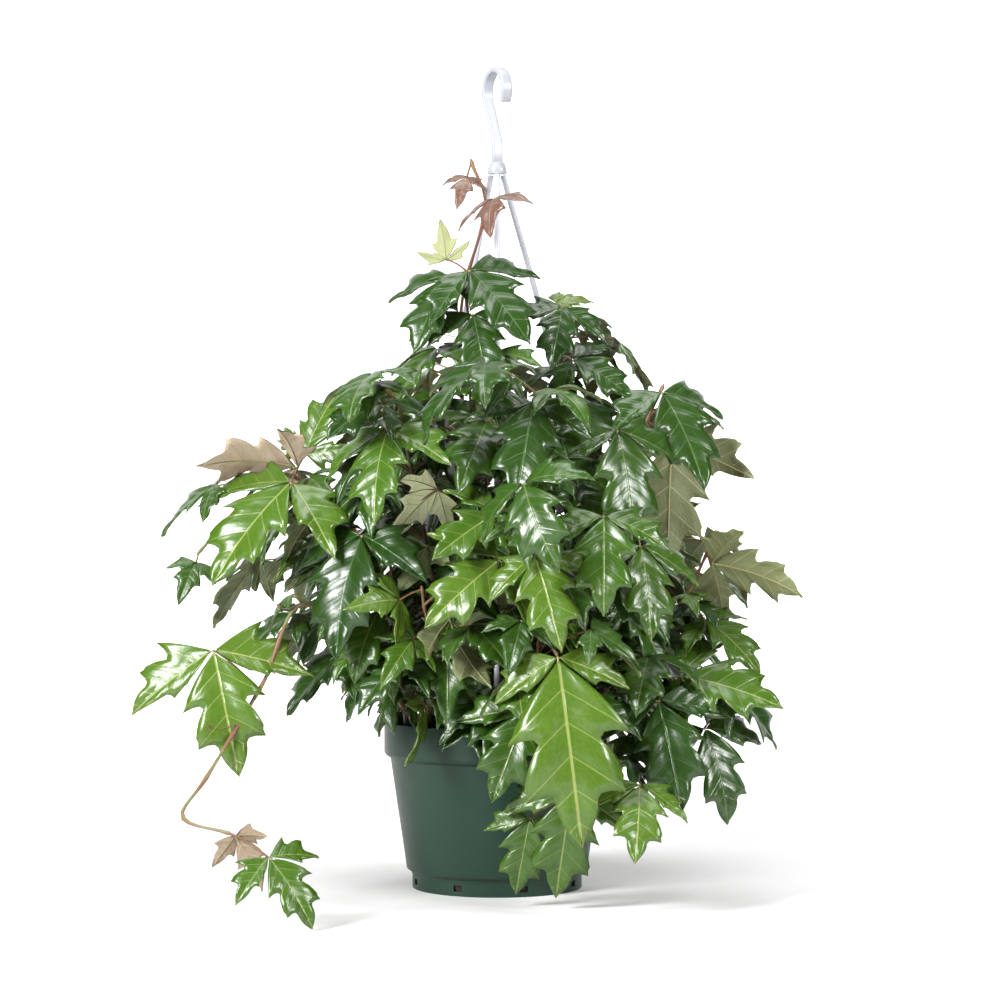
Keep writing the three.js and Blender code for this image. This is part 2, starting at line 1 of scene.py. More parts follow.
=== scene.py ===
# %% [markdown]
# # A grape ivy in its hanging pot
# This notebook dresses a plain solid model of an oak-leaved grape ivy, which spills out of a
# green nursery pot under a white three-strand hanger. The solids give every piece its place
# and size, and here it gets fine edges, veins and gloss. The plan is: measure the frame, set
# the camera, make the pot, the soil and the hanger, then grow the leafy stems one by one.

# %% Load the solid model
import math
from contextlib import contextmanager

import bpy
import numpy as np
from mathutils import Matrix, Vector, kdtree
from mathutils.bvhtree import BVHTree


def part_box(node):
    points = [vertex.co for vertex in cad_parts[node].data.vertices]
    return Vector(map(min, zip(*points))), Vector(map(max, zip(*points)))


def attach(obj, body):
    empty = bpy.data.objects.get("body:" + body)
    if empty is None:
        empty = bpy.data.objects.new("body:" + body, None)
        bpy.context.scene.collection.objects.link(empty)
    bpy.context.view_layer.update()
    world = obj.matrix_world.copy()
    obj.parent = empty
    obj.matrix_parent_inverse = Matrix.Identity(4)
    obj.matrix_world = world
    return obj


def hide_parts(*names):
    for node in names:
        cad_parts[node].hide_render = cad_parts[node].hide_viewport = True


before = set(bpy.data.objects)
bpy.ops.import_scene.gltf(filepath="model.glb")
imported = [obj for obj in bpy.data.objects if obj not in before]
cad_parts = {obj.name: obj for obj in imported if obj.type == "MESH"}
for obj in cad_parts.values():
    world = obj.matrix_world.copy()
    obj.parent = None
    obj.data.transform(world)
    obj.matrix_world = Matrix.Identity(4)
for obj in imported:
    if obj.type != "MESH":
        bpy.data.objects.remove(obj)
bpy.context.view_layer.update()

MM = 0.001
bpy.ops.object.select_all(action="DESELECT")

# %% [markdown]
# ## Camera, floor and light
# The pot stands on a pale floor with a pale wall far behind it. The floor glows a little
# towards the wall, so that no horizon shows. A long lens from two metres away keeps the
# pot's sides nearly parallel. The camera is set before anything is modelled, so that every
# piece is judged from the same place.

# %% Camera
LENS = 115.2
SENSOR_WIDTH = 36
CAMERA_DISTANCE = 2.157
CAMERA_HEIGHT = 0.301
CAMERA_SIDE = 0.002
CAMERA_TILT = math.radians(1.07)

camera_data = bpy.data.cameras.new("plant_camera")
camera_data.lens = LENS
camera_data.sensor_width = SENSOR_WIDTH
camera = bpy.data.objects.new("plant_camera", camera_data)
camera.location = (CAMERA_SIDE, -CAMERA_DISTANCE, CAMERA_HEIGHT)
camera.rotation_euler = (math.pi / 2 - CAMERA_TILT, 0, 0)
bpy.context.scene.collection.objects.link(camera)
bpy.context.scene.camera = camera
print("camera", CAMERA_DISTANCE, "m in front of the pot")

# %% Floor and lights
FLOOR_WIDTH = 8
WALL_HEIGHT = 5
PAPER_GREY = (0.74, 0.74, 0.74, 1)
WHITE = (1, 1, 1, 1)
GLOW = {"From Min": 0.3, "From Max": 1.6, "To Max": 0.95}
PLANT_MIDDLE = Vector((0, 0, 0.28))
SOFTBOXES = {
    "key_left": dict(place=(-1.7, -1.7, 1.5), size=0.85, power=140),
    "fill_right": dict(place=(1.8, -1.2, 1.2), size=0.6, power=50),
    "top": dict(place=(0.1, 0.2, 3.6), size=2.1, power=88),
}
AIR_LIGHT = 0.08


def set_inputs(node, values):
    for name, value in values.items():
        node.inputs[name].default_value = value


def make_floor():
    bpy.ops.mesh.primitive_plane_add(size=FLOOR_WIDTH)
    floor = bpy.context.object
    floor.name = "studio_floor"
    bpy.ops.object.mode_set(mode="EDIT")
    bpy.ops.mesh.select_all(action="DESELECT")
    bpy.ops.object.mode_set(mode="OBJECT")
    for edge in floor.data.edges:
        ends = [floor.data.vertices[i].co.y for i in edge.vertices]
        edge.select = min(ends) > FLOOR_WIDTH * 0.49
    bpy.ops.object.mode_set(mode="EDIT")
    bpy.ops.mesh.select_mode(type="EDGE")
    bpy.ops.mesh.extrude_region_move(TRANSFORM_OT_translate={"value": (0, 0, WALL_HEIGHT)})
    bpy.ops.object.mode_set(mode="OBJECT")
    material = bpy.data.materials.new("studio_white")
    material.use_nodes = True
    tree = material.node_tree
    shader = tree.nodes["Principled BSDF"]
    set_inputs(shader, {"Base Color": PAPER_GREY, "Roughness": 0.8, "Emission Color": WHITE})
    place = tree.nodes.new("ShaderNodeTexCoord")
    split = tree.nodes.new("ShaderNodeSeparateXYZ")
    glow = tree.nodes.new("ShaderNodeMapRange")
    set_inputs(glow, GLOW)
    tree.links.new(place.outputs["Object"], split.inputs["Vector"])
    tree.links.new(split.outputs["Y"], glow.inputs["Value"])
    tree.links.new(glow.outputs["Result"], shader.inputs["Emission Strength"])
    floor.data.materials.append(material)


def add_softbox(name, place, size, power):
    data = bpy.data.lights.new(name, "AREA")
    data.size = size
    data.energy = power
    light = bpy.data.objects.new(name, data)
    light.location = place
    aim = PLANT_MIDDLE - Vector(place)
    light.rotation_euler = aim.to_track_quat("-Z", "Y").to_euler()
    bpy.context.scene.collection.objects.link(light)


make_floor()
for name, softbox in SOFTBOXES.items():
    add_softbox(name, **softbox)
world = bpy.data.worlds.new("studio_air")
world.use_nodes = True
set_inputs(world.node_tree.nodes["Background"], {"Color": WHITE, "Strength": AIR_LIGHT})
bpy.context.scene.world = world
bpy.context.scene.view_settings.view_transform = "Standard"
print(len(SOFTBOXES), "soft lights and a pale room")

# %% [markdown]
# ## Small helpers
# A few jobs come back for every piece: pick one object alone before an operator acts on it,
# finish it with a modifier, and hang it under the root and hide the solids it stands for.


# %% Helpers
def pick(piece):
    bpy.ops.object.select_all(action="DESELECT")
    piece.select_set(True)
    bpy.context.view_layer.objects.active = piece


@contextmanager
def editing(piece):
    """Edit mode, with the whole mesh selected."""
    pick(piece)
    bpy.ops.object.mode_set(mode="EDIT")
    bpy.ops.mesh.select_all(action="SELECT")
    yield
    bpy.ops.object.mode_set(mode="OBJECT")


def settle(piece):
    """Move the piece's turn and place into its mesh."""
    pick(piece)
    bpy.ops.object.transform_apply(location=True, rotation=True, scale=True)


def smooth_below(piece, degrees):
    pick(piece)
    bpy.ops.object.shade_smooth_by_angle(angle=math.radians(degrees))


def apply_modifier(piece, kind, **settings):
    modifier = piece.modifiers.new(kind.lower(), kind)
    for key, value in settings.items():
        setattr(modifier, key, value)
    pick(piece)
    bpy.ops.object.modifier_apply(modifier=modifier.name)


def soften_edges(piece, width, segments, degrees):
    """Bevel the edges that turn by more than so many degrees."""
    apply_modifier(piece, "BEVEL", width=width * MM, segments=segments,
                   limit_method="ANGLE", angle_limit=math.radians(degrees))


def cut_out(piece, cutter):
    apply_modifier(piece, "BOOLEAN", object=cutter, operation="DIFFERENCE", solver="EXACT")
    bpy.data.objects.remove(cutter)


def block(name, place, size, turn=0.0):
    place = [value * MM for value in place]
    bpy.ops.mesh.primitive_cube_add(size=1, location=place, rotation=(0, 0, turn))
    piece = bpy.context.object
    piece.name = name
    piece.scale = [value * MM for value in size]
    settle(piece)
    return piece


def mesh_piece(name, points, faces, edges=()):
    mesh = bpy.data.meshes.new(name)
    mesh.from_pydata([tuple(p) for p in points], list(edges), [tuple(f) for f in faces])
    piece = bpy.data.objects.new(name, mesh)
    bpy.context.scene.collection.objects.link(piece)
    return piece


SEAM = 1e-6


def spun(name, profile, steps=96):
    """A round piece from its half section, a list of (radius, height) in mm."""
    points = [(radius * MM, 0, height * MM) for radius, height in profile]
    edges = [(i, i + 1) for i in range(len(points) - 1)]
    piece = mesh_piece(name, points, faces=(), edges=edges)
    with editing(piece):
        bpy.ops.mesh.spin(steps=steps, angle=2 * math.pi, center=(0, 0, 0), axis=(0, 0, 1))
        bpy.ops.mesh.select_all(action="SELECT")
        bpy.ops.mesh.remove_doubles(threshold=SEAM)
        bpy.ops.mesh.normals_make_consistent(inside=False)
    return piece


def coat(piece, *finishes):
    for finish in finishes:
        piece.data.materials.append(finish)


def stand_for(piece, slot, *nodes):
    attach(piece, "root")
    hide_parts(*nodes)
    print(piece.name, "has", len(piece.data.polygons), "faces")


# %% [markdown]
# ## Procedural finishes
# Every finish is built from shader nodes on Object coordinates, on the blade's own UV map
# or on attributes, so nothing slides when a piece is looked at from another side. A small
# helper makes the Principled shader, and others add colour, noise and a fine bump to it.


# %% Finish helpers
def new_finish(name, colour, roughness):
    material = bpy.data.materials.new(name)
    material.use_nodes = True
    shader = material.node_tree.nodes["Principled BSDF"]
    set_inputs(shader, {"Base Color": (*colour, 1), "Roughness": roughness})
    return material, material.node_tree, shader


def fill_sockets(tree, sockets, values):
    """Each value is a number, a colour or the output of another node."""
    for socket, value in zip(sockets, values):
        if isinstance(value, (int, float)):
            socket.default_value = value
        elif isinstance(value, tuple):
            socket.default_value = (*value, 1)
        else:
            tree.links.new(value, socket)


def math_node(tree, operation, first, second=0.0):
    node = tree.nodes.new("ShaderNodeMath")
    node.operation = operation
    fill_sockets(tree, node.inputs, (first, second))
    return node.outputs[0]


def times(tree, first, second):
    return math_node(tree, "MULTIPLY", first, second)


def plus(tree, first, second):
    return math_node(tree, "ADD", first, second)


def minus(tree, first, second):
    return math_node(tree, "SUBTRACT", first, second)


def mix_colours(tree, share, first, second):
    node = tree.nodes.new("ShaderNodeMix")
    node.data_type = "RGBA"
    sockets = (node.inputs["Factor"], node.inputs[6], node.inputs[7])
    fill_sockets(tree, sockets, (share, first, second))
    return node.outputs[2]


def object_noise(tree, scale, detail=3.0):
    place = tree.nodes.new("ShaderNodeTexCoord")
    noise = tree.nodes.new("ShaderNodeTexNoise")
    set_inputs(noise, {"Scale": scale, "Detail": detail})
    tree.links.new(place.outputs["Object"], noise.inputs["Vector"])
    return noise.outputs["Fac"]


def noisy_colour(tree, shader, scale, detail, first, second):
    colour = mix_colours(tree, object_noise(tree, scale, detail), first, second)
    tree.links.new(colour, shader.inputs["Base Color"])


def add_bump(tree, shader, height, distance, strength):
    bump = tree.nodes.new("ShaderNodeBump")
    set_inputs(bump, {"Strength": strength, "Distance": distance})
    tree.links.new(height, bump.inputs["Height"])
    tree.links.new(bump.outputs["Normal"], shader.inputs["Normal"])


# %% [markdown]
# ## The pot
# The pot is blow-moulded green plastic: a straight rim band, a tapered body and a stepped
# foot with drain slots. It is round, so its half section is drawn once and spun. The spin
# leaves a seam, which is merged, and the sharp corners get a narrow bevel that catches
# the light as a moulded edge does.

# %% Pot finish
POT_GREEN = (0.009, 0.032, 0.018)
POT_TINTS = (0.008, 0.03, 0.017), (0.011, 0.035, 0.02)
pot_finish, tree, shader = new_finish("pot_green_plastic", POT_GREEN, 0.42)
noisy_colour(tree, shader, 35, 4, *POT_TINTS)
shader.inputs["Specular IOR Level"].default_value = 0.35
wear = plus(tree, times(tree, object_noise(tree, 60), 0.14), 0.35)
tree.links.new(wear, shader.inputs["Roughness"])
add_bump(tree, shader, object_noise(tree, 900, 2), distance=0.0001, strength=0.25)

# %% Pot body
POT_WIDTH = (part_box("pot")[1].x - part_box("pot")[0].x) / MM
POT_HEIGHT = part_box("pot")[1].z / MM
WALL = 2.0
RIM_RADIUS = POT_WIDTH / 2
RIM_FOOT = POT_HEIGHT * 0.8
BODY_TOP = RIM_RADIUS * 0.945
BODY_FOOT = RIM_RADIUS * 0.8
FOOT_RADIUS = RIM_RADIUS * 0.75
FOOT_HEIGHT = POT_HEIGHT * 0.09
RIM_WALL = WALL * 1.3
RIM_INSIDE = RIM_RADIUS - RIM_WALL
FLOOR_TOP = WALL + 0.5
SOIL_TOP = POT_HEIGHT - 12
NOTCHES = 8
NOTCH_SIZE = (9, 6, 4)
NOTCH_HEIGHT = FLOOR_TOP + 2.6
FIRST_NOTCH = 0.4


def make_pot():
    pot = spun("pot_shell", [
        (0, 0), (FOOT_RADIUS, 0), (FOOT_RADIUS, FOOT_HEIGHT),
        (BODY_FOOT, FOOT_HEIGHT + 3), (BODY_TOP, RIM_FOOT - 2), (RIM_RADIUS - 1, RIM_FOOT),
        (RIM_RADIUS, RIM_FOOT + 2), (RIM_RADIUS, POT_HEIGHT),
        (RIM_INSIDE, POT_HEIGHT), (BODY_TOP - WALL, RIM_FOOT - 1),
        (BODY_FOOT - WALL, FOOT_HEIGHT + 4), (FOOT_RADIUS - WALL, FLOOR_TOP), (0, FLOOR_TOP),
    ])
    reach = FOOT_RADIUS - 1
    for number in range(NOTCHES):
        turn = 2 * math.pi * (number + FIRST_NOTCH) / NOTCHES
        place = (reach * math.cos(turn), reach * math.sin(turn), NOTCH_HEIGHT)
        cut_out(pot, block("notch_space", place, NOTCH_SIZE, turn))
    soften_edges(pot, width=0.5, segments=3, degrees=25)
    smooth_below(pot, degrees=35)
    coat(pot, pot_finish)
    stand_for(pot, "pot_plastic", "pot")


make_pot()

# %% [markdown]
# ## The soil
# Potting soil is a dark, crumbly plug a finger's width below the rim. A spun plug gives the
# body, its finish has a rough bump, and a few hundred crumbs lie on it. One crumb is
# modelled from a small sphere and copied, each copy made lumpy and sized by a seeded draw.

# %% Soil
GAP = 0.3
SOIL_SIDE_GAP = 0.5
SOIL_BROWN = (0.03, 0.018, 0.011)
SOIL_TINTS = (0.008, 0.005, 0.003), (0.05, 0.03, 0.018)
soil_finish, tree, shader = new_finish("potting_soil", SOIL_BROWN, 0.95)
noisy_colour(tree, shader, 260, 6, *SOIL_TINTS)
add_bump(tree, shader, object_noise(tree, 500, 5), distance=0.0008, strength=0.9)


def make_soil_plug():
    side = WALL + SOIL_SIDE_GAP
    plug = spun("soil_plug", [
        (0, FLOOR_TOP + GAP), (FOOT_RADIUS - side, FLOOR_TOP + GAP),
        (BODY_FOOT - side, FOOT_HEIGHT + 4), (BODY_TOP - side, RIM_FOOT - 1),
        (BODY_TOP - WALL - GAP, SOIL_TOP - 1), (BODY_TOP * 0.8, SOIL_TOP - 0.4),
        (BODY_TOP * 0.6, SOIL_TOP), (BODY_TOP * 0.4, SOIL_TOP + 0.4),
        (BODY_TOP * 0.2, SOIL_TOP + 0.8), (0, SOIL_TOP + 1),
    ])
    coat(plug, soil_finish)
    stand_for(plug, "potting_soil", "soil")


def make_crumbs(count=420, seed=5):
    bpy.ops.mesh.primitive_ico_sphere_add(subdivisions=1, radius=1)
    master = bpy.context.object
    shape = np.array([v.co for v in master.data.vertices])
    triangles = np.array([p.vertices for p in master.data.polygons])
    bpy.data.objects.remove(master)
    chance = np.random.default_rng(seed)
    points, faces = [], []
    for number in range(count):
        radius = (BODY_TOP - WALL - 4) * math.sqrt(chance.random())
        angle = chance.random() * 2 * math.pi
        size = 0.6 + 1.3 * chance.random() ** 2
        lumpy = shape * (1 + 0.35 * (chance.random(shape.shape) - 0.5)) * size
        lumpy[:, 2] *= 0.7
        centre = (radius * math.cos(angle), radius * math.sin(angle), SOIL_TOP + 0.3)
        points.append((lumpy + centre) * MM)
        faces.append(triangles + number * len(shape))
    crumbs = mesh_piece("soil_crumbs", np.concatenate(points), np.concatenate(faces))
    coat(crumbs, soil_finish)
    stand_for(crumbs, "potting_soil", "soil")


make_soil_plug()
make_crumbs()

# %% [markdown]
# ## The hanger
# The hanger is one soft white moulding on the real thing: a flat open hook, a small round
# joint and three thin strands that end in clips over the rim. The hook's flat outline is
# drawn as a face and extruded, and a bevel rounds it. Each strand is a curve with
# thickness, which is then made a mesh. Each clip is a block with the rim's space cut out.


# %% Hanger finish
def white_plastic(name, darker, lighter):
    material, tree, shader = new_finish(name, darker, 0.35)
    set_inputs(shader, {"Subsurface Weight": 0.15, "Subsurface Scale": 0.002})
    noisy_colour(tree, shader, 45, 3, darker, lighter)
    add_bump(tree, shader, object_noise(tree, 320, 2), distance=0.0001, strength=0.2)
    return material


# The hook and its joint get a darker copy of the strands' white plastic. This is painted shade,
# which holds back the top light that falls strongest on them.
HOOK_PAINTED_SHADE_FINISH = white_plastic("white_hook_plastic_painted_shade", (0.31, 0.32, 0.355), (0.35, 0.36, 0.395))
STRAND_FINISH = white_plastic("white_strand_plastic", (0.41, 0.42, 0.46), (0.46, 0.47, 0.51))

# %% Hook and joint
HOOK_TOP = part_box("hanger_hook")[1].z / MM
STRAND_WIDTH = 3.9
HOOK_WIDTH = STRAND_WIDTH * 2
HOOK_THICKNESS = STRAND_WIDTH * 0.9
HOOK_INNER = 12.5
HOOK_OUTER = HOOK_INNER + HOOK_THICKNESS
HOOK_CENTRE = HOOK_TOP - HOOK_INNER - HOOK_THICKNESS
HOOK_TIP = -math.pi / 5
HOOK_TURN = -math.pi * 0.35
JOINT_TOP = HOOK_TOP - 64
JOINT_HEIGHT = 8
NECK_FOOT = JOINT_TOP - 2
NECK_TOP = JOINT_TOP + 14


def arc(radius, first, last, steps=28):
    angles = [first + (last - first) * i / steps for i in range(steps + 1)]
    return [(radius * math.cos(a), HOOK_CENTRE + radius * math.sin(a)) for a in angles]


def make_hook():
    half = HOOK_THICKNESS / 2
    bend_foot = HOOK_TOP - HOOK_OUTER - 4
    outline = [(-half, NECK_FOOT), (-half, NECK_TOP), (-HOOK_OUTER, bend_foot)]
    outline += arc(HOOK_OUTER, math.pi, HOOK_TIP)
    outline += arc(HOOK_INNER, HOOK_TIP, math.pi)
    outline += [(-HOOK_INNER, bend_foot), (half, NECK_TOP), (half, NECK_FOOT)]
    points = [(x * MM, HOOK_WIDTH / 2 * MM, z * MM) for x, z in outline]
    hook = mesh_piece("hook_strip", points, [range(len(points))])
    width = (0, -HOOK_WIDTH * MM, 0)
    with editing(hook):
        bpy.ops.mesh.extrude_region_move(TRANSFORM_OT_translate={"value": width})
        bpy.ops.mesh.select_all(action="SELECT")
        bpy.ops.mesh.normals_make_consistent(inside=False)
    hook.rotation_euler = (0, 0, HOOK_TURN)
    settle(hook)
    soften_edges(hook, width=1.1, segments=4, degrees=50)
    smooth_below(hook, degrees=40)
    coat(hook, HOOK_PAINTED_SHADE_FINISH)
    stand_for(hook, "hanger_plastic", "hanger_hook")


def make_joint():
    foot = JOINT_TOP - JOINT_HEIGHT
    joint = spun("hanger_joint", [
        (0, foot), (6.4, foot), (6.8, foot + 0.8), (6.2, JOINT_TOP - 4),
        (5.2, JOINT_TOP - 0.8), (4.4, JOINT_TOP), (0, JOINT_TOP),
    ], steps=48)
    smooth_below(joint, degrees=40)
    coat(joint, HOOK_PAINTED_SHADE_FINISH)
    stand_for(joint, "hanger_plastic", "hanger_hook")


make_hook()
make_joint()

# %% [markdown]
# ## Smooth routes
# Strands and stems follow a few given points. A Catmull-Rom curve runs through the
# points, and it is measured, so that places can be asked for by their share of its length.


# %% Routes
def unit(vector):
    return vector / np.linalg.norm(vector)


def catmull_rom(points, share):
    spot = share * (len(points) - 1)
    part = min(int(spot), len(points) - 2)
    t = spot - part
    before = points[part - 1] if part > 0 else 2 * points[0] - points[1]
    after = points[part + 2] if part + 2 < len(points) else 2 * points[-1] - points[-2]
    first, last = points[part], points[part + 1]
    leave, arrive = (last - before) / 2, (after - first) / 2
    square = -3 * first + 3 * last - 2 * leave - arrive
    cube = 2 * first - 2 * last + leave + arrive
    return first + leave * t + square * t ** 2 + cube * t ** 3


class Route:
    """A curve through a few points, measured along its length."""

    def __init__(self, points, parts=200):
        self.points = np.asarray(points, float)
        self.shares = np.linspace(0, 1, parts + 1)
        places = np.array([catmull_rom(self.points, s) for s in self.shares])
        steps = np.linalg.norm(np.diff(places, axis=0), axis=1)
        self.lengths = np.concatenate([[0], np.cumsum(steps)])

    def share_at(self, along):
        return float(np.interp(along * self.lengths[-1], self.lengths, self.shares))

    def at(self, along):
        return catmull_rom(self.points, self.share_at(along))

    def heading(self, along):
        share = self.share_at(along)
        low, high = max(share - 1e-4, 0), min(share + 1e-4, 1)
        return unit(catmull_rom(self.points, high) - catmull_rom(self.points, low))


def thick_curves(name, lines, sides):
    """One mesh of round tubes. Each line is a list of (point in mm, radius in mm)."""
    data = bpy.data.curves.new(name, "CURVE")
    data.dimensions = "3D"
    data.bevel_depth = MM
    data.bevel_resolution = sides
    data.use_fill_caps = True
    for line in lines:
        spline = data.splines.new("POLY")
        spline.points.add(len(line) - 1)
        for point, (place, radius) in zip(spline.points, line):
            point.co = (*(np.asarray(place) * MM), 1)
            point.radius = radius
    piece = bpy.data.objects.new(name, data)
    bpy.context.scene.collection.objects.link(piece)
    pick(piece)
    bpy.ops.object.convert(target="MESH")
    piece = bpy.context.object
    bpy.ops.object.shade_smooth()
    return piece


# %% Strands and clips
STRANDS = {
    "right": dict(azimuth=math.pi / 6, bow=14),
    "left": dict(azimuth=math.pi * 5 / 6, bow=0),
    "front": dict(azimuth=-math.pi / 2, bow=-6),
}
STRAND_STEPS = 60
STRAND_TOP = JOINT_TOP - JOINT_HEIGHT - 0.75
RIM_MIDDLE = RIM_RADIUS - RIM_WALL / 2
CLIP_SIZE = (9, 9, 11)
CLIP_GAP = 1.6


def make_strand(side, azimuth, bow):
    out = np.array([math.cos(azimuth), math.sin(azimuth), 0])
    span = STRAND_TOP - POT_HEIGHT
    stations = [(RIM_MIDDLE, 2), (RIM_MIDDLE * 0.74 + bow, span * 0.35),
                (RIM_MIDDLE * 0.38 + bow * 0.8, span * 0.7), (4.6, span)]
    route = Route([out * reach + (0, 0, POT_HEIGHT + rise) for reach, rise in stations])
    line = [(route.at(i / STRAND_STEPS), STRAND_WIDTH / 2) for i in range(STRAND_STEPS + 1)]
    strand = thick_curves("strand_" + side, [line], sides=5)
    coat(strand, STRAND_FINISH)
    stand_for(strand, "hanger_plastic", "hanger_strand_" + side)


def make_clip(side, azimuth):
    clip = block("rim_clip_" + side, (RIM_MIDDLE, 0, POT_HEIGHT - 1.5), CLIP_SIZE)
    inside, outside = RIM_INSIDE - CLIP_GAP, RIM_RADIUS + GAP
    foot, top = POT_HEIGHT - 20, POT_HEIGHT + GAP
    corners = [(inside, foot), (outside, foot), (outside, top), (inside, top), (inside, foot)]
    cut_out(clip, spun("rim_space", corners))
    soften_edges(clip, width=0.7, segments=3, degrees=40)
    clip.rotation_euler = (0, 0, azimuth)
    settle(clip)
    smooth_below(clip, degrees=40)
    coat(clip, STRAND_FINISH)
    stand_for(clip, "hanger_plastic", "hanger_strand_" + side)


for side, strand in STRANDS.items():
    make_strand(side, **strand)
    make_clip(side, strand["azimuth"])

# %% [markdown]
# ## Where the stems and leaves go
# Each leafy stem is a route with its root in the soil. A grape ivy bears one three-part leaf
# at each joint of the stem, on alternate sides, and most leaves follow that rule. The ones
# that give this plant its look are placed one by one, by column and row as sighted from a
# standpoint in front of the pot, with how far they come forward in millimetres. A tone says
# how old a leaf is: 0 is an old dark leaf, 0.5 a fresh green one and 1 a bronze new one. On
# the underside, tone 0.8 gives a colour paler than the leaf's own, which is painted light.

# %% Stems
STEMS = {
    "crown": dict(root=[-10, 8], route=[[-16, 12, 200], [-22, 8, 300], [-24, 0, 390],
        [-8, -12, 455], [-17, -10, 487]],
        leaves=7, bare=0.25, size=56),
    "summit": dict(root=[4, -16], route=[[-4, -26, 220], [-12, -34, 330], [-22, -40, 405]],
        leaves=5, bare=0.35, size=60),
    "ridge_right": dict(root=[20, 12], route=[[32, 12, 220], [40, 8, 320], [46, 0, 385]],
        leaves=5, bare=0.35, size=62),
    "front_high": dict(root=[16, -30], route=[[24, -62, 200], [30, -86, 290], [26, -98, 330]],
        leaves=3, bare=0.4, size=58),
    "left_high": dict(root=[-24, -22], route=[[-42, -44, 210], [-58, -62, 290], [-64, -74, 325]],
        leaves=5, bare=0.4, size=60),
    "left_arm": dict(root=[-42, -2], route=[[-80, -16, 190], [-118, -30, 262],
        [-150, -40, 276], [-195, -60, 228]],
        leaves=4, bare=0.3, size=60),
    "left_mid": dict(root=[-40, -30], route=[[-62, -60, 170], [-72, -78, 240]],
        leaves=5, bare=0.4, size=62),
    "left_trail": dict(root=[-52, -18], route=[[-76, -48, 145], [-125, -88, 195], [-150, -112, 145],
        [-182, -145, 90], [-196, -165, 66], [-166, -182, 58]],
        leaves=2, bare=0.3, size=48),
    "front_low": dict(root=[-22, -44], route=[[-36, -78, 140], [-46, -100, 190], [-48, -106, 205]],
        leaves=3, bare=0.5, size=50),
    "centre": dict(root=[2, -48], route=[[10, -86, 165], [14, -112, 225], [12, -112, 258]],
        leaves=3, bare=0.4, size=54),
    "front_right": dict(root=[24, -48], route=[[26, -88, 145], [28, -124, 178], [38, -146, 166]],
        leaves=2, bare=0.35, size=54),
    "drape": dict(root=[38, -42], route=[[50, -72, 128], [58, -96, 110], [78, -102, 68]],
        leaves=3, bare=0.3, size=50),
    "front_mid": dict(root=[34, -22], route=[[52, -62, 180], [70, -98, 235], [90, -108, 240]],
        leaves=4, bare=0.4, size=58),
    "right_high": dict(root=[26, -4], route=[[62, -14, 220], [94, -20, 300], [110, -26, 336]],
        leaves=6, bare=0.35, size=62),
    "right_out": dict(root=[50, -10], route=[[88, -36, 160], [122, -48, 195], [138, -52, 226]],
        leaves=5, bare=0.35, size=58),
    "right_low": dict(root=[50, -28], route=[[64, -40, 128], [84, -64, 146], [106, -84, 150],
        [140, -86, 120]],
        leaves=6, bare=0.3, size=56),
    "back_high": dict(root=[0, 34], route=[[-8, 62, 220], [-20, 84, 310], [-26, 112, 300]],
        leaves=6, bare=0.3, size=80),
    "back_right": dict(root=[32, 30], route=[[62, 66, 180], [92, 92, 240], [124, 108, 215]],
        leaves=6, bare=0.3, size=78),
    "back_left": dict(root=[-36, 28], route=[[-70, 62, 180], [-102, 86, 240], [-134, 92, 215]],
        leaves=6, bare=0.3, size=78),
    "back_low": dict(root=[12, 52], route=[[18, 84, 135], [24, 118, 140], [28, 142, 105]],
        leaves=5, bare=0.3, size=72),
}

FACES = {
    "front": (0, -0.9, 0.43),
    "front_left": (-0.45, -0.8, 0.4),
    "front_right": (0.4, -0.8, 0.45),
    "top": (0, -0.6, 0.8),
    "away": (0, 0.75, 0.65),
}
print(len(STEMS), "stems")

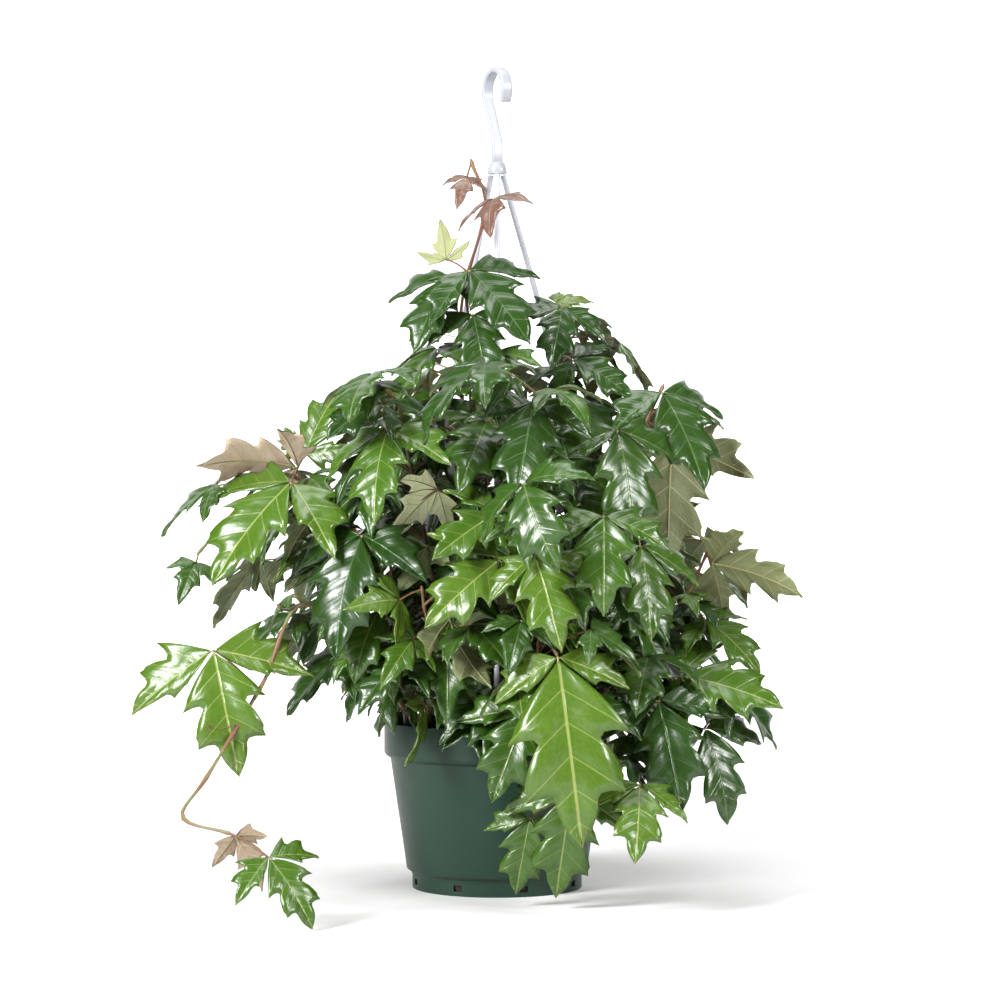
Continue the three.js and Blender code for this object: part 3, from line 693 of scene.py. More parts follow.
# %% Leaves placed one by one
SIGHTED_LEAVES = {
    "crown": [
        dict(face="top", tone=1.0, hub=dict(column=467, row=177, forward=8),
            tip=dict(column=457, row=210, forward=22)),
        dict(face="away", tone=0.71, hub=dict(column=446, row=260, forward=-16),
            tip=dict(column=440, row=219, forward=-26)),
    ],
    "summit": [
        dict(face="top", tone=0.05, hub=dict(column=469, row=270, forward=50),
            tip=dict(column=530, row=345, forward=76)),
        dict(face="front_left", tone=0.1, hub=dict(column=452, row=277, forward=40),
            tip=dict(column=414, row=355, forward=64)),
        dict(face="front", tone=0.05, hub=dict(column=473, row=314, forward=64),
            tip=dict(column=487, row=388, forward=90)),
    ],
    "ridge_right": [
        dict(face="top", tone=0.75, hub=dict(column=556, row=303, forward=-20),
            tip=dict(column=594, row=303, forward=-30)),
        dict(face="front_right", tone=0.1, hub=dict(column=572, row=360, forward=20),
            tip=dict(column=632, row=400, forward=30)),
    ],
    "front_high": [
        dict(face="front", tone=0.05, hub=dict(column=534, row=402, forward=108),
            tip=dict(column=516, row=503, forward=140)),
        dict(face="front_right", tone=0.2, hub=dict(column=617, row=430, forward=92),
            tip=dict(column=632, row=548, forward=112)),
    ],
    "left_high": [
        dict(face="top", tone=0.1, hub=dict(column=437, row=425, forward=62),
            tip=dict(column=385, row=400, forward=84)),
        dict(face="front_left", tone=0.5, hub=dict(column=388, row=430, forward=92),
            tip=dict(column=375, row=525, forward=122)),
    ],
    "left_arm": [
        dict(face="away", tone=0.9, hub=dict(column=298, row=467, forward=34),
            tip=dict(column=197, row=467, forward=58)),
        dict(face="front_left", tone=0.55, hub=dict(column=305, row=455, forward=22),
            tip=dict(column=340, row=390, forward=6)),
        dict(face="front_left", tone=0.55, hub=dict(column=292, row=482, forward=64),
            tip=dict(column=213, row=586, forward=92)),
        dict(face="front", tone=0.2, hub=dict(column=196, row=562, forward=66),
            tip=dict(column=178, row=605, forward=78)),
    ],
    "left_mid": [
        dict(face="front_left", tone=0.0, hub=dict(column=362, row=535, forward=86),
            tip=dict(column=337, row=660, forward=108)),
        # Tone 0.8 gives this turned leaf the underside stop that is painted light. It is paler than
        # the leaf's own cream, because this leaf sits in shade.
        dict(face="away", tone=0.8, hub=dict(column=438, row=489, forward=80),
            tip=dict(column=392, row=540, forward=88)),
    ],
    "left_trail": [
        dict(face="front", tone=0.6, hub=dict(column=213, row=650, forward=110),
            tip=dict(column=239, row=777, forward=128)),
        dict(face="away", tone=0.97, hub=dict(column=235, row=836, forward=182),
            tip=dict(column=262, row=892, forward=188)),
        dict(face="front_right", tone=0.45, hub=dict(column=268, row=858, forward=192),
            tip=dict(column=312, row=930, forward=200)),
    ],
    "front_low": [
        dict(face="front", tone=0.6, hub=dict(column=400, row=600, forward=112),
            tip=dict(column=343, row=610, forward=132)),
        dict(face="front", tone=0.45, hub=dict(column=413, row=640, forward=106),
            tip=dict(column=380, row=690, forward=122)),
        dict(face="front", tone=0.25, hub=dict(column=447, row=655, forward=94),
            tip=dict(column=447, row=725, forward=106)),
    ],
    "centre": [
        dict(face="front", tone=0.5, hub=dict(column=497, row=513, forward=118),
            tip=dict(column=432, row=560, forward=136)),
        dict(face="front", tone=0.6, hub=dict(column=500, row=560, forward=130),
            tip=dict(column=425, row=629, forward=146)),
        dict(face="front", tone=0.6, hub=dict(column=535, row=556, forward=140),
            tip=dict(column=562, row=652, forward=160)),
    ],
    "front_right": [
        dict(face="front", tone=0.62, hub=dict(column=558, row=657, forward=150),
            tip=dict(column=582, row=848, forward=166), own=dict(side=0.42, bend=0.5)),
        dict(face="front", tone=0.3, hub=dict(column=527, row=710, forward=108),
            tip=dict(column=492, row=803, forward=118)),
    ],
    "drape": [
        dict(face="front", tone=0.4, hub=dict(column=530, row=818, forward=104),
            tip=dict(column=516, row=895, forward=100)),
        dict(face="front", tone=0.4, hub=dict(column=572, row=790, forward=112),
            tip=dict(column=556, row=897, forward=106)),
    ],
    "front_mid": [
        dict(face="front", tone=0.35, hub=dict(column=603, row=518, forward=126),
            tip=dict(column=603, row=618, forward=148)),
        dict(face="front_right", tone=0.4, hub=dict(column=640, row=545, forward=112),
            tip=dict(column=650, row=640, forward=134)),
    ],
    "right_high": [
        dict(face="front_right", tone=0.1, hub=dict(column=661, row=392, forward=32),
            tip=dict(column=704, row=490, forward=64)),
        dict(face="away", tone=0.6, hub=dict(column=672, row=440, forward=22),
            tip=dict(column=668, row=567, forward=40)),
    ],
    "right_out": [
        dict(face="away", tone=0.63, hub=dict(column=712, row=563, forward=60),
            tip=dict(column=803, row=597, forward=78)),
        dict(face="front_right", tone=0.5, hub=dict(column=705, row=620, forward=62),
            tip=dict(column=760, row=675, forward=82)),
    ],
    "right_low": [
        dict(face="front", tone=0.05, hub=dict(column=659, row=700, forward=110),
            tip=dict(column=683, row=812, forward=132)),
        dict(face="front_right", tone=0.5, hub=dict(column=680, row=675, forward=82),
            tip=dict(column=783, row=708, forward=96)),
        dict(face="front_right", tone=0.15, hub=dict(column=705, row=728, forward=92),
            tip=dict(column=728, row=825, forward=100)),
    ],
}
STANDPOINT = dict(distance=2157, eye_height=301, eye_row=440, axis_column=497, per_column=0.674)


def sighted(column, row, forward):
    scale = STANDPOINT["per_column"] * (1 - forward / STANDPOINT["distance"])
    across = (column - STANDPOINT["axis_column"]) * scale
    height = STANDPOINT["eye_height"] + (STANDPOINT["eye_row"] - row) * scale
    return np.array([across, -forward, height])


print(sum(map(len, SIGHTED_LEAVES.values())), "leaves placed one by one")

# %% [markdown]
# ## Growing the list of leaves
# Each leaf is a hub, a tip, a facing and a few seeded proportions. The solids moved some
# leaves aside by one of a few small steps, to keep them clear of each other. The same steps
# are tried here, and the one whose three tips are found in the solid is the right one.

# %% Leaf list
STEM_STEPS = 10
STEM_START = SOIL_TOP + 4
STEM_RADIUS = 1.4
BLADE_THICKNESS = 0.8
NUDGES = [
    (0, 0, 0), (0, -6, 0), (0, 6, 0), (0, -12, 0), (0, 12, 0), (0, -18, 2), (5, -4, 0),
    (-5, -4, 0), (0, -4, 6), (0, -4, -6), (8, -8, 4), (-8, -8, 4), (8, 8, -4), (-8, 8, -4),
    (0, -24, 4), (0, 18, 0), (12, 0, 8), (-12, 0, 8), (12, 0, -8), (-12, 0, -8),
]
BRONZE_TIPS = {"crown": 0.9}
LEAF_MIDDLE = 0.4
HIDING_REACH = 0.6


def draws(seed):
    """Even draws from 0 to 1 by the same short rule as in the solids."""
    state = seed * 7919 + 17
    while True:
        state = (state * 1664525 + 1013904223) % 4294967296
        yield state / 4294967296


def stem_route(name):
    x, y = STEMS[name]["root"]
    return Route([(x, y, STEM_START), *STEMS[name]["route"]])


ROUTES = {name: stem_route(name) for name in STEMS}


def nearest_on_stem(route, place):
    rings = [route.at(i / STEM_STEPS) for i in range(STEM_STEPS + 1)]
    rings = [p for p in rings if p[2] > SOIL_TOP + 8 or math.hypot(p[0], p[1]) > RIM_RADIUS + 8]
    return min(rings, key=lambda ring: np.linalg.norm(ring - place))


def proportions(chance):
    spread = 1.08 + 0.2 * next(chance)
    side = 0.62 + 0.2 * next(chance)
    return dict(spread=spread, side=side, bend=0.45 + 0.3 * next(chance))


def sighted_leaf(name, entry, number):
    hub, tip = sighted(**entry["hub"]), sighted(**entry["tip"])
    facing = np.array(FACES[entry["face"]], float)
    node = nearest_on_stem(ROUTES[name], hub)
    leaf = dict(stem=name, hub=hub, tip=tip, facing=facing, node=node, tone=entry["tone"])
    return {**leaf, **proportions(draws(number)), **entry.get("own", {})}


def grown_leaf(name, along, order, size_now, tone, chance):
    route = ROUTES[name]
    node, tangent = route.at(along), route.heading(along)
    out = unit(np.array([node[0], node[1], 0.0]))
    sideways = np.array([-out[1], out[0], 0]) * (1 if order % 2 else -1)
    size = size_now * (0.9 + 0.2 * next(chance))
    hub = node + out * size * (0.25 + 0.15 * next(chance))
    hub = hub + sideways * size * (0.3 + 0.2 * next(chance))
    hub = hub + tangent * size * 0.15 + (0, 0, size * 0.12)
    heading = out * 0.55 + sideways * 0.35
    heading[2] = -0.5 - 0.5 * next(chance)
    tip = hub + unit(heading) * size
    facing = np.array([out[0] * 0.75, out[1] * 0.75, 0.65])
    leaf = dict(stem=name, hub=hub, tip=tip, facing=facing, node=node, tone=tone)
    return {**leaf, **proportions(chance)}


def leaf_of_rule(name, order, number):
    stem = STEMS[name]
    share = order / (stem["leaves"] - 1)
    ring = math.floor(STEM_STEPS * (stem["bare"] + (1 - stem["bare"]) * share) + 0.5)
    size = stem["size"] * (1 - 0.3 * share)
    tone = 0.08 + 0.5 * share * (number * 0.618 % 1) + BRONZE_TIPS.get(name, 0) * share
    return grown_leaf(name, ring / STEM_STEPS, order, size, tone, draws(number))


def hides(leaf, other):
    """Whether, seen from the front, a leaf's middle lies before that of a sighted leaf."""
    here = leaf["hub"] + LEAF_MIDDLE * (leaf["tip"] - leaf["hub"])
    there = other["hub"] + LEAF_MIDDLE * (other["tip"] - other["hub"])
    near = HIDING_REACH * np.linalg.norm(other["tip"] - other["hub"])
    return here[1] < there[1] and math.hypot(here[0] - there[0], here[2] - there[2]) < near


def hides_any(leaf):
    return any(hides(leaf, other) for other in shown)


entries = [(name, entry) for name in SIGHTED_LEAVES for entry in SIGHTED_LEAVES[name]]
shown = [sighted_leaf(*entry, i + 1) for i, entry in enumerate(entries)]
orders = [(name, order) for name in STEMS for order in range(STEMS[name]["leaves"])]
grown = [leaf_of_rule(*place, len(shown) + 1 + i) for i, place in enumerate(orders)]
wanted = shown + [leaf for leaf in grown if not hides_any(leaf)]
print(len(wanted), "leaves wanted")

# %% [markdown]
# ## The shape of a blade
# A blade starts as a flat leaflet one unit long. Its side veins run forward at an angle, so
# the grid's rows follow them: then each lobe's point and each notch lies on a row, and the
# outline stays sharp with few faces. The flat leaflet is folded along its midrib, bent
# down along its length and laid into its place by a frame of three directions.

# %% Blade frame
FOLD = 0.22
SIDE_DROOP = 0.3
SIDE_TILT = 0.35


def blade_frame(hub, tip, facing, bend):
    chord = tip - hub
    along = unit(chord)
    normal = unit(facing - along * facing.dot(along))
    half = bend / 2
    start = along * math.cos(half) + normal * math.sin(half)
    up = normal * math.cos(half) - along * math.sin(half)
    length = np.linalg.norm(chord) * half / math.sin(half)
    return dict(hub=hub, start=start, up=up, across=np.cross(up, start), length=length, bend=bend)


def blade_points(blade, along, side, lift):
    """Places of flat points (along, side) in units, with lift in mm above the blade."""
    turn = blade["bend"] * along
    forward = np.sin(turn) / blade["bend"] * blade["length"]
    drop = (1 - np.cos(turn)) / blade["bend"] * blade["length"]
    rise = np.abs(side) * FOLD * blade["length"] + lift
    points = blade["hub"] + np.outer(forward + rise * np.sin(turn), blade["start"])
    points = points + np.outer(-drop + rise * np.cos(turn), blade["up"])
    return points + np.outer(side * blade["length"], blade["across"])


def midrib_point(blade, along, lift):
    return blade_points(blade, np.array([along]), np.array([0.0]), lift)[0]


def leaf_frames(leaf):
    middle = blade_frame(leaf["hub"], leaf["tip"], leaf["facing"], leaf["bend"])
    reach = np.linalg.norm(leaf["tip"] - leaf["hub"]) * leaf["side"]
    frames = [middle]
    for sign in (1, -1):
        heading = middle["start"] * math.cos(leaf["spread"])
        heading = heading + middle["across"] * sign * math.sin(leaf["spread"])
        heading = unit(heading - SIDE_DROOP * middle["up"])
        facing = middle["up"] + middle["across"] * sign * SIDE_TILT
        tip = leaf["hub"] + heading * reach
        frames.append(blade_frame(leaf["hub"], tip, facing, leaf["bend"]))
    return frames


# %% Find each leaf's step in its solid
CLOSE_ENOUGH = 0.6
FILL = 0.22


def nudged(leaf, nudge):
    return {**leaf, "hub": leaf["hub"] + nudge, "tip": leaf["tip"] + nudge}


def corner_finder(node):
    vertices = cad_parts[node].data.vertices
    tree = kdtree.KDTree(len(vertices))
    for i, vertex in enumerate(vertices):
        tree.insert(vertex.co, i)
    tree.balance()
    return tree


def misfit(leaf, tree):
    tips = [midrib_point(blade, 1.0, BLADE_THICKNESS / 2) for blade in leaf_frames(leaf)]
    return max(tree.find(Vector(tip * MM))[2] / MM for tip in tips)


leaves = []
finders = {name: corner_finder("vine_" + name) for name in STEMS}
for leaf in wanted:
    trials = [nudged(leaf, nudge) for nudge in NUDGES]
    misfits = [misfit(trial, finders[leaf["stem"]]) for trial in trials]
    best = int(np.argmin(misfits))
    if misfits[best] < CLOSE_ENOUGH:
        leaves.append({**trials[best], "fill": FILL * (1 - trials[best]["tone"])})
print(len(leaves), "of them are found in the solids")

# %% [markdown]
# ## Filling the crown
# A grape ivy is so leafy that its stems are hidden. The solids hold the leaves that shape
# it, and here many joints of every stem are tried for more. A trial leaf is drawn by a
# seeded draw, and it stays only if it touches no solid and no other leaf, and keeps within
# the crown's own outline. Each leaf is tried as a coarse net of a few triangles.

# %% More leaves
ARCH = 0.42
# Each row is a height and how far the crown reaches to the left and right there, in mm.
CROWN_SIDES = [
    (20, 15, 110), (60, 0, 175), (110, -92, 185), (150, -120, 172), (180, -150, 160),
    (220, -185, 186), (260, -190, 168), (300, -160, 165), (330, -122, 132), (360, -78, 95),
    (400, -60, 62), (450, -44, 30), (470, -40, 0),
]
CROWN_REACH = 200
CROWN_BACK = 186
NET_PLACES = [(0, 0), (0.2, 0.2), (0.44, 0.33), (0.44, 0.16), (0.74, 0.27), (0.75, 0.1), (1, 0)]
NET_FACES = [(0, 1, 3), (1, 2, 3), (0, 3, 5), (3, 4, 5), (0, 5, 6)]
NET_SHARE = 0.94
TRIES_PER_JOINT = 14
FIRST_JOINT = 0.16
LEAFY_REACH = {"crown": 0.62}
TURNED_SHARE = 0.07


def leaf_net(leaf):
    points, faces = [], []
    for blade in leaf_frames(leaf):
        for sign in (-1, 1):
            along = np.array([place[0] for place in NET_PLACES]) * NET_SHARE
            side = np.array([place[1] for place in NET_PLACES]) * sign * NET_SHARE
            faces += [[corner + len(points) for corner in face] for face in NET_FACES]
            points += list(blade_points(blade, along, side, -ARCH * side ** 2 * blade["length"]))
    return np.array(points), faces


def net_tree(leaf):
    points, faces = leaf_net(leaf)
    return BVHTree.FromPolygons([Vector(p * MM) for p in points], faces)


def solid_tree(node):
    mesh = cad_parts[node].data
    corners = [vertex.co.copy() for vertex in mesh.vertices]
    return BVHTree.FromPolygons(corners, [tuple(face.vertices) for face in mesh.polygons])


def within_crown(leaf):
    points, _ = leaf_net(leaf)
    x, y, z = points.T
    levels, left, right = zip(*CROWN_SIDES)
    inside = (x > np.interp(z, levels, left)) & (x < np.interp(z, levels, right))
    inside &= (z > levels[0]) & (z < levels[-1]) & (np.hypot(x, y) < CROWN_REACH)
    inside &= y < CROWN_BACK
    return bool(inside.all())


def trial_leaf(name, along, sizes, chance):
    node = ROUTES[name].at(along)
    turn = math.atan2(node[1], node[0]) + chance.normal(0, 0.75)
    out = np.array([math.cos(turn), math.sin(turn), 0])
    size = chance.uniform(*sizes)
    stalk = chance.uniform(0.3, 0.75) * size
    hub = node + out * stalk + (0, 0, chance.uniform(0.0, 0.35) * size)
    swing = chance.uniform(-0.5, 0.5)
    heading = out * 0.6 + np.array([-out[1], out[0], 0]) * swing
    heading[2] = -chance.uniform(0.35, 1.3)
    facing = np.array([out[0] * 0.8, out[1] * 0.8, 0.6]) + chance.normal(0, 0.35, 3)
    tone = 0.6 * chance.beta(1.2, 2.2)
    if chance.random() < TURNED_SHARE:
        facing, tone = -facing, 0.3 + 0.4 * chance.random()
    leaf = dict(stem=name, hub=hub, tip=hub + unit(heading) * size, facing=facing, node=node)
    leaf.update(tone=tone, spread=chance.uniform(1.0, 1.25), side=chance.uniform(0.62, 0.85))
    leaf.update(bend=chance.uniform(0.45, 1.1), fill=0.35 * chance.random())
    return leaf


def fill_crown(leaves, joints, sizes, seed):
    taken = [solid_tree(node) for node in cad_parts]
    taken += [net_tree(leaf) for leaf in leaves]
    extra = []
    for number, name in enumerate(STEMS):
        chance = np.random.default_rng(seed + number)
        leafy = LEAFY_REACH.get(name, 1) - FIRST_JOINT
        for joint in range(joints):
            along = FIRST_JOINT + leafy * joint / (joints - 1)
            for _ in range(TRIES_PER_JOINT):
                leaf = trial_leaf(name, along, sizes, chance)
                if not within_crown(leaf) or hides_any(leaf):
                    continue
                net = net_tree(leaf)
                if any(net.overlap(tree) for tree in taken):
                    continue
                extra.append(leaf)
                taken.append(net)
                break
    return extra


big_leaves = fill_crown(leaves, joints=30, sizes=(36, 66), seed=500)
leaves += big_leaves
small_leaves = fill_crown(leaves, joints=13, sizes=(24, 38), seed=800)
leaves += small_leaves
print(len(big_leaves), "large and", len(small_leaves), "small leaves fill the crown")

# %% [markdown]
# ## Three flat leaflets
# An oak-leaved ivy has a middle leaflet with two lobes on each side, and two side leaflets
# with wide lobes outside and one small lobe inside. Each is started as a plain grid. Its
# rows are laid along the side veins, from the midrib to the margin, and its margin goes
# through the points of the lobes and notches. Small leaves have one lobe on each side.
# The flat leaflets are modelled once here and each leaf gets its own bent copies.

# %% Leaflet margins
MIDDLE_SIDE = [(0.44, 0.32), (0.44, 0.15), (0.74, 0.26), (0.75, 0.1)]
OUTER_SIDE = [(0.4, 0.4), (0.4, 0.18), (0.7, 0.28), (0.71, 0.1)]
INNER_SIDE = [(0.56, 0.18), (0.62, 0.09)]
PLAIN_SIDE = [(0.5, 0.3), (0.56, 0.14)]
VEIN_SLANT = 0.8
BLADE_START = (0.035, 0.012)
# Rows of the grid from each corner of a margin to the next, by how many corners it has. Both
# margins of a leaflet have the same number of rows in all.
LARGE_ROWS = {4: [6, 3, 5, 3, 7], 2: [10, 4, 10]}
SMALL_ROWS = {2: [6, 3, 7]}
HALF_COLUMNS = 3
TOOTH = 0.012
SHOULDER = 0.24
TIP_SWELL = 1.15
FILLED_SWELL = 0.6


def row_width(low, high, share, rising, last):
    """Half width between two corners: into a lobe, back to a notch, or on to the tip."""
    if last:
        return low * (1 - share) ** 1.2 * (1 + TIP_SWELL * share)
    if rising:
        shoulder = SHOULDER * high * math.sin(math.pi * share) * (1 - share)
        return low + (high - low) * share ** 0.8 + shoulder
    return high + (low - high) * (1 - share) ** 1.8


def margin(side, counts):
    """Station, half width and filled half width along one margin, row by row."""
    corners = [BLADE_START, *side, (1, 0)]
    stations = [along - VEIN_SLANT * out for along, out in corners]
    widths = [out for _, out in corners]
    line = [(stations[0], widths[0])]
    for part, count in enumerate(counts):
        rising, last = part % 2 == 0, part + 1 == len(counts)
        for row in range(1, count + 1):
            share = row / count
            width = row_width(widths[part], widths[part + 1], share, rising, last)
            if rising and not last and row == count // 2 + 1:
                width += TOOTH
            line.append((stations[part] + (stations[part + 1] - stations[part]) * share, width))
    tips = [0, *range(1, len(corners) - 1, 2), len(corners) - 1]
    over = [(stations[i], widths[i]) for i in tips]
    last_lobe = over[-2][0]
    rows = []
    for station, width in line:
        filled = float(np.interp(station, *zip(*over)))
        share = max(station - last_lobe, 0) / (1 - last_lobe)
        filled *= 1 + FILLED_SWELL * share * (1 - share)
        rows.append((station, width, max(filled, width)))
    return rows


def leaflet_master(name, left_side, right_side, counts):
    """A flat leaflet, with the place of each of its corners, lobed and filled."""
    rows = sum(counts[len(left_side)])
    bpy.ops.mesh.primitive_grid_add(x_subdivisions=2 * HALF_COLUMNS, y_subdivisions=rows, size=2)
    leaflet = bpy.context.object
    leaflet.name = name
    with editing(leaflet):
        bpy.ops.mesh.flip_normals()
    left, right = [margin(side, counts[len(side)]) for side in (left_side, right_side)]
    corners = []
    for vertex in leaflet.data.vertices:
        row = round((vertex.co.y + 1) / 2 * rows)
        column = vertex.co.x
        middle = (left[row][0] + right[row][0]) / 2
        station, width, full = right[row] if column > 0 else left[row]
        station = middle + (station - middle) * abs(column)
        corners.append((column, station, width * column, full * column))
    columns, stations, lobed, filled = np.array(corners).T
    layer = leaflet.data.uv_layers.active
    layer.name = "blade"
    for loop in leaflet.data.loops:
        layer.data[loop.index].uv = (stations[loop.vertex_index], lobed[loop.vertex_index] + 0.5)
    flat = dict(columns=columns, stations=stations, lobed=lobed, filled=filled)
    return dict(leaflet=leaflet, **flat)


MASTERS = {
    "middle": leaflet_master("flat_middle", MIDDLE_SIDE, MIDDLE_SIDE, LARGE_ROWS),
    "right": leaflet_master("flat_right", INNER_SIDE, OUTER_SIDE, LARGE_ROWS),
    "left": leaflet_master("flat_left", OUTER_SIDE, INNER_SIDE, LARGE_ROWS),
    "plain": leaflet_master("flat_plain", PLAIN_SIDE, PLAIN_SIDE, SMALL_ROWS),
}
print("flat leaflets:", {name: len(m["columns"]) for name, m in MASTERS.items()})

# %% [markdown]
# ## Leaf finish
# The upper face is leathery and glossy. Its green runs from nearly black green on old leaves
# through fresh green to bronze on the newest, by an attribute called tone. Pale veins are
# drawn from the leaflet's own UV map, where one direction is the distance from the midrib
# and the other counts the side veins. The underside is matt and olive grey, so it gets its
# own finish, which Solidify gives to the lower shell.

# %% Leaf finishes
VEIN_SPACING = 0.087
NET_SCALE = 26
TOP_GREENS = [
    (0.0, (0.011, 0.039, 0.002)), (0.25, (0.02, 0.064, 0.002)), (0.5, (0.038, 0.1, 0.003)),
    (0.75, (0.076, 0.142, 0.01)), (0.88, (0.13, 0.11, 0.04)), (1.0, (0.12, 0.062, 0.044)),
]
TOP_VEINS = [(0.0, (0.045, 0.11, 0.03)), (0.7, (0.3, 0.34, 0.1)), (1.0, (0.27, 0.17, 0.11))]
# Underside colours by tone. The stop at 0.8 starts from the pale cream of a turned leaf and is made
# much paler as painted light, to lift the one turned leaf that sits in shade deep in the crown.
UNDER_GREENS_AND_PAINTED_LIGHT = [
    (0.0, (0.11, 0.15, 0.065)), (0.4, (0.18, 0.22, 0.09)), (0.6, (0.14, 0.16, 0.066)),
    (0.7, (0.25, 0.28, 0.12)), (0.8, (0.74, 0.77, 0.45)), (0.9, (0.52, 0.42, 0.31)),
    (0.97, (0.24, 0.18, 0.12)), (1.0, (0.3, 0.2, 0.15)),
]
UNDER_VEINS = (0.24, 0.28, 0.14), (0.4, 0.34, 0.23)
RIB_TINTS = (0.22, 0.28, 0.09), (0.36, 0.27, 0.12)


def attribute(tree, name):
    node = tree.nodes.new("ShaderNodeAttribute")
    node.attribute_name = name
    return node.outputs["Fac"]


def colour_ramp(tree, share, stops):
    node = tree.nodes.new("ShaderNodeValToRGB")
    elements = node.color_ramp.elements
    while len(elements) < len(stops):
        elements.new(0.5)
    for element, (position, colour) in zip(elements, stops):
        element.position = position
        element.color = (*colour, 1)
    tree.links.new(share, node.inputs["Fac"])
    return node.outputs["Color"]


def line_mask(tree, distance, half_width, soft):
    node = tree.nodes.new("ShaderNodeMapRange")
    ends = {"From Min": half_width, "From Max": half_width + soft, "To Min": 1, "To Max": 0}
    set_inputs(node, ends)
    tree.links.new(distance, node.inputs["Value"])
    return node.outputs["Result"]


def vein_parts(tree):
    """Masks of the midrib, the side veins and the fine net, and the station."""
    place = tree.nodes.new("ShaderNodeUVMap")
    place.uv_map = "blade"
    split = tree.nodes.new("ShaderNodeSeparateXYZ")
    tree.links.new(place.outputs["UV"], split.inputs["Vector"])
    station, side = split.outputs["X"], split.outputs["Y"]
    side = math_node(tree, "ABSOLUTE", minus(tree, side, 0.5))
    midrib = line_mask(tree, side, 0.004, 0.006)
    swing = math_node(tree, "PINGPONG", station, VEIN_SPACING)
    side_veins = line_mask(tree, swing, 0.002, 0.006)
    net = tree.nodes.new("ShaderNodeTexVoronoi")
    net.feature = "DISTANCE_TO_EDGE"
    net.inputs["Scale"].default_value = NET_SCALE
    tree.links.new(place.outputs["UV"], net.inputs["Vector"])
    fine = line_mask(tree, net.outputs["Distance"], 0.0, 0.12)
    return midrib, side_veins, fine, station


def leaf_top_finish():
    material, tree, shader = new_finish("leaf_top", (0.02, 0.08, 0.02), 0.3)
    tone = attribute(tree, "tone")
    cloudy = times(tree, minus(tree, object_noise(tree, 60), 0.5), 0.16)
    colour = colour_ramp(tree, plus(tree, tone, cloudy), TOP_GREENS)
    midrib, side_veins, fine, station = vein_parts(tree)
    pale = colour_ramp(tree, tone, TOP_VEINS)
    for veins, strength in ((fine, 0.08), (side_veins, 0.35), (midrib, 0.75)):
        colour = mix_colours(tree, times(tree, veins, strength), colour, pale)
    tree.links.new(colour, shader.inputs["Base Color"])
    set_inputs(shader, {"Specular IOR Level": 0.56, "Subsurface Weight": 0.12,
                        "Subsurface Scale": 0.002})
    turns = times(tree, station, 3 * math.pi / VEIN_SPACING)
    ripple = times(tree, math_node(tree, "SINE", turns), 0.1)
    sunk = plus(tree, times(tree, side_veins, 0.5), midrib)
    sunk = plus(tree, sunk, times(tree, fine, 0.12))
    add_bump(tree, shader, minus(tree, ripple, sunk), distance=0.0005, strength=0.35)
    return material


def leaf_under_finish():
    material, tree, shader = new_finish("leaf_under", (0.2, 0.22, 0.1), 0.6)
    tone = attribute(tree, "tone")
    matt = colour_ramp(tree, tone, UNDER_GREENS_AND_PAINTED_LIGHT)
    midrib, side_veins, fine, _ = vein_parts(tree)
    pale = mix_colours(tree, tone, *UNDER_VEINS)
    veins = math_node(tree, "MAXIMUM", times(tree, side_veins, 0.7), midrib)
    tree.links.new(mix_colours(tree, veins, matt, pale), shader.inputs["Base Color"])
    set_inputs(shader, {"Subsurface Weight": 0.1, "Subsurface Scale": 0.002})
    add_bump(tree, shader, plus(tree, veins, fine), distance=0.0003, strength=0.5)
    return material


def rib_finish():
    material, tree, shader = new_finish("leaf_rib", (0.3, 0.33, 0.12), 0.5)
    noisy_colour(tree, shader, 90, 3, *RIB_TINTS)
    add_bump(tree, shader, object_noise(tree, 700, 2), distance=0.0002, strength=0.4)
    return material


LEAF_FINISHES = leaf_top_finish(), leaf_under_finish(), rib_finish()
print("leaf finishes:", *[finish.name for finish in LEAF_FINISHES])

# %% [markdown]
# ## Bending a leaflet into place
# A leaf blade isn't a flat card. Between the side veins it swells up a little, its margin
# waves, and its two halves fold up from the midrib and then arch over. These lifts are
# worked out on the flat leaflet and go with it when it is bent along its frame.

# %% Bend leaflets
QUILT = 0.018
WAVE = 0.026
FULL_TURN = 6.28
PLAIN_LENGTH = 46
RIB_STEPS = 5
RIB_REACH = 0.9


def leaflet_lift(flat, side, chance):
    """Swells, waves and arch of a leaflet. The fifth draw isn't used, only passed over."""
    columns, stations = flat["columns"], flat["stations"]
    right, left, pace, arching, _ = chance.random(5)
    swell = np.abs(np.sin(np.pi * stations / VEIN_SPACING / 2)) * np.abs(columns)
    swell = swell * (1 - np.abs(columns)) * 4
    phase = np.where(side > 0, right * FULL_TURN, left * FULL_TURN)
    beat = np.sin(stations * (8 + 5 * pace) + phase)
    return QUILT * swell + WAVE * beat * columns ** 2 - ARCH * side ** 2 * (1 + 0.5 * arching)


def bent_leaflet(flat, blade, leaf, chance):
    leaflet = flat["leaflet"].copy()
    leaflet.data = flat["leaflet"].data.copy()
    bpy.context.scene.collection.objects.link(leaflet)
    side = flat["lobed"] + leaf["fill"] * (flat["filled"] - flat["lobed"])
    along = flat["stations"] + VEIN_SLANT * np.abs(side)
    lift = leaflet_lift(flat, side, chance) * blade["length"]
    places = blade_points(blade, along, side, lift)
    leaflet.data.vertices.foreach_set("co", (places * MM).ravel())
    layer = leaflet.data.attributes.new("tone", "FLOAT", "POINT")
    layer.data.foreach_set("value", np.full(len(side), leaf["tone"]))
    return leaflet


def leaf_sheets(leaf, chance):
    large = np.linalg.norm(leaf["tip"] - leaf["hub"]) > PLAIN_LENGTH
    kinds = ("middle", "right", "left") if large else ("plain", "plain", "plain")
    blades = leaf_frames(leaf)
    return [bent_leaflet(MASTERS[kind], blade, leaf, chance) for kind, blade in zip(kinds, blades)]


def rib_line(blade):
    line = []
    for step in range(RIB_STEPS + 1):
        along = step / RIB_STEPS * RIB_REACH
        thick = (0.62 - 0.5 * along) * (blade["length"] / 100) + 0.08
        line.append((midrib_point(blade, along, -0.5 + 0.3 * along), thick))
    return line


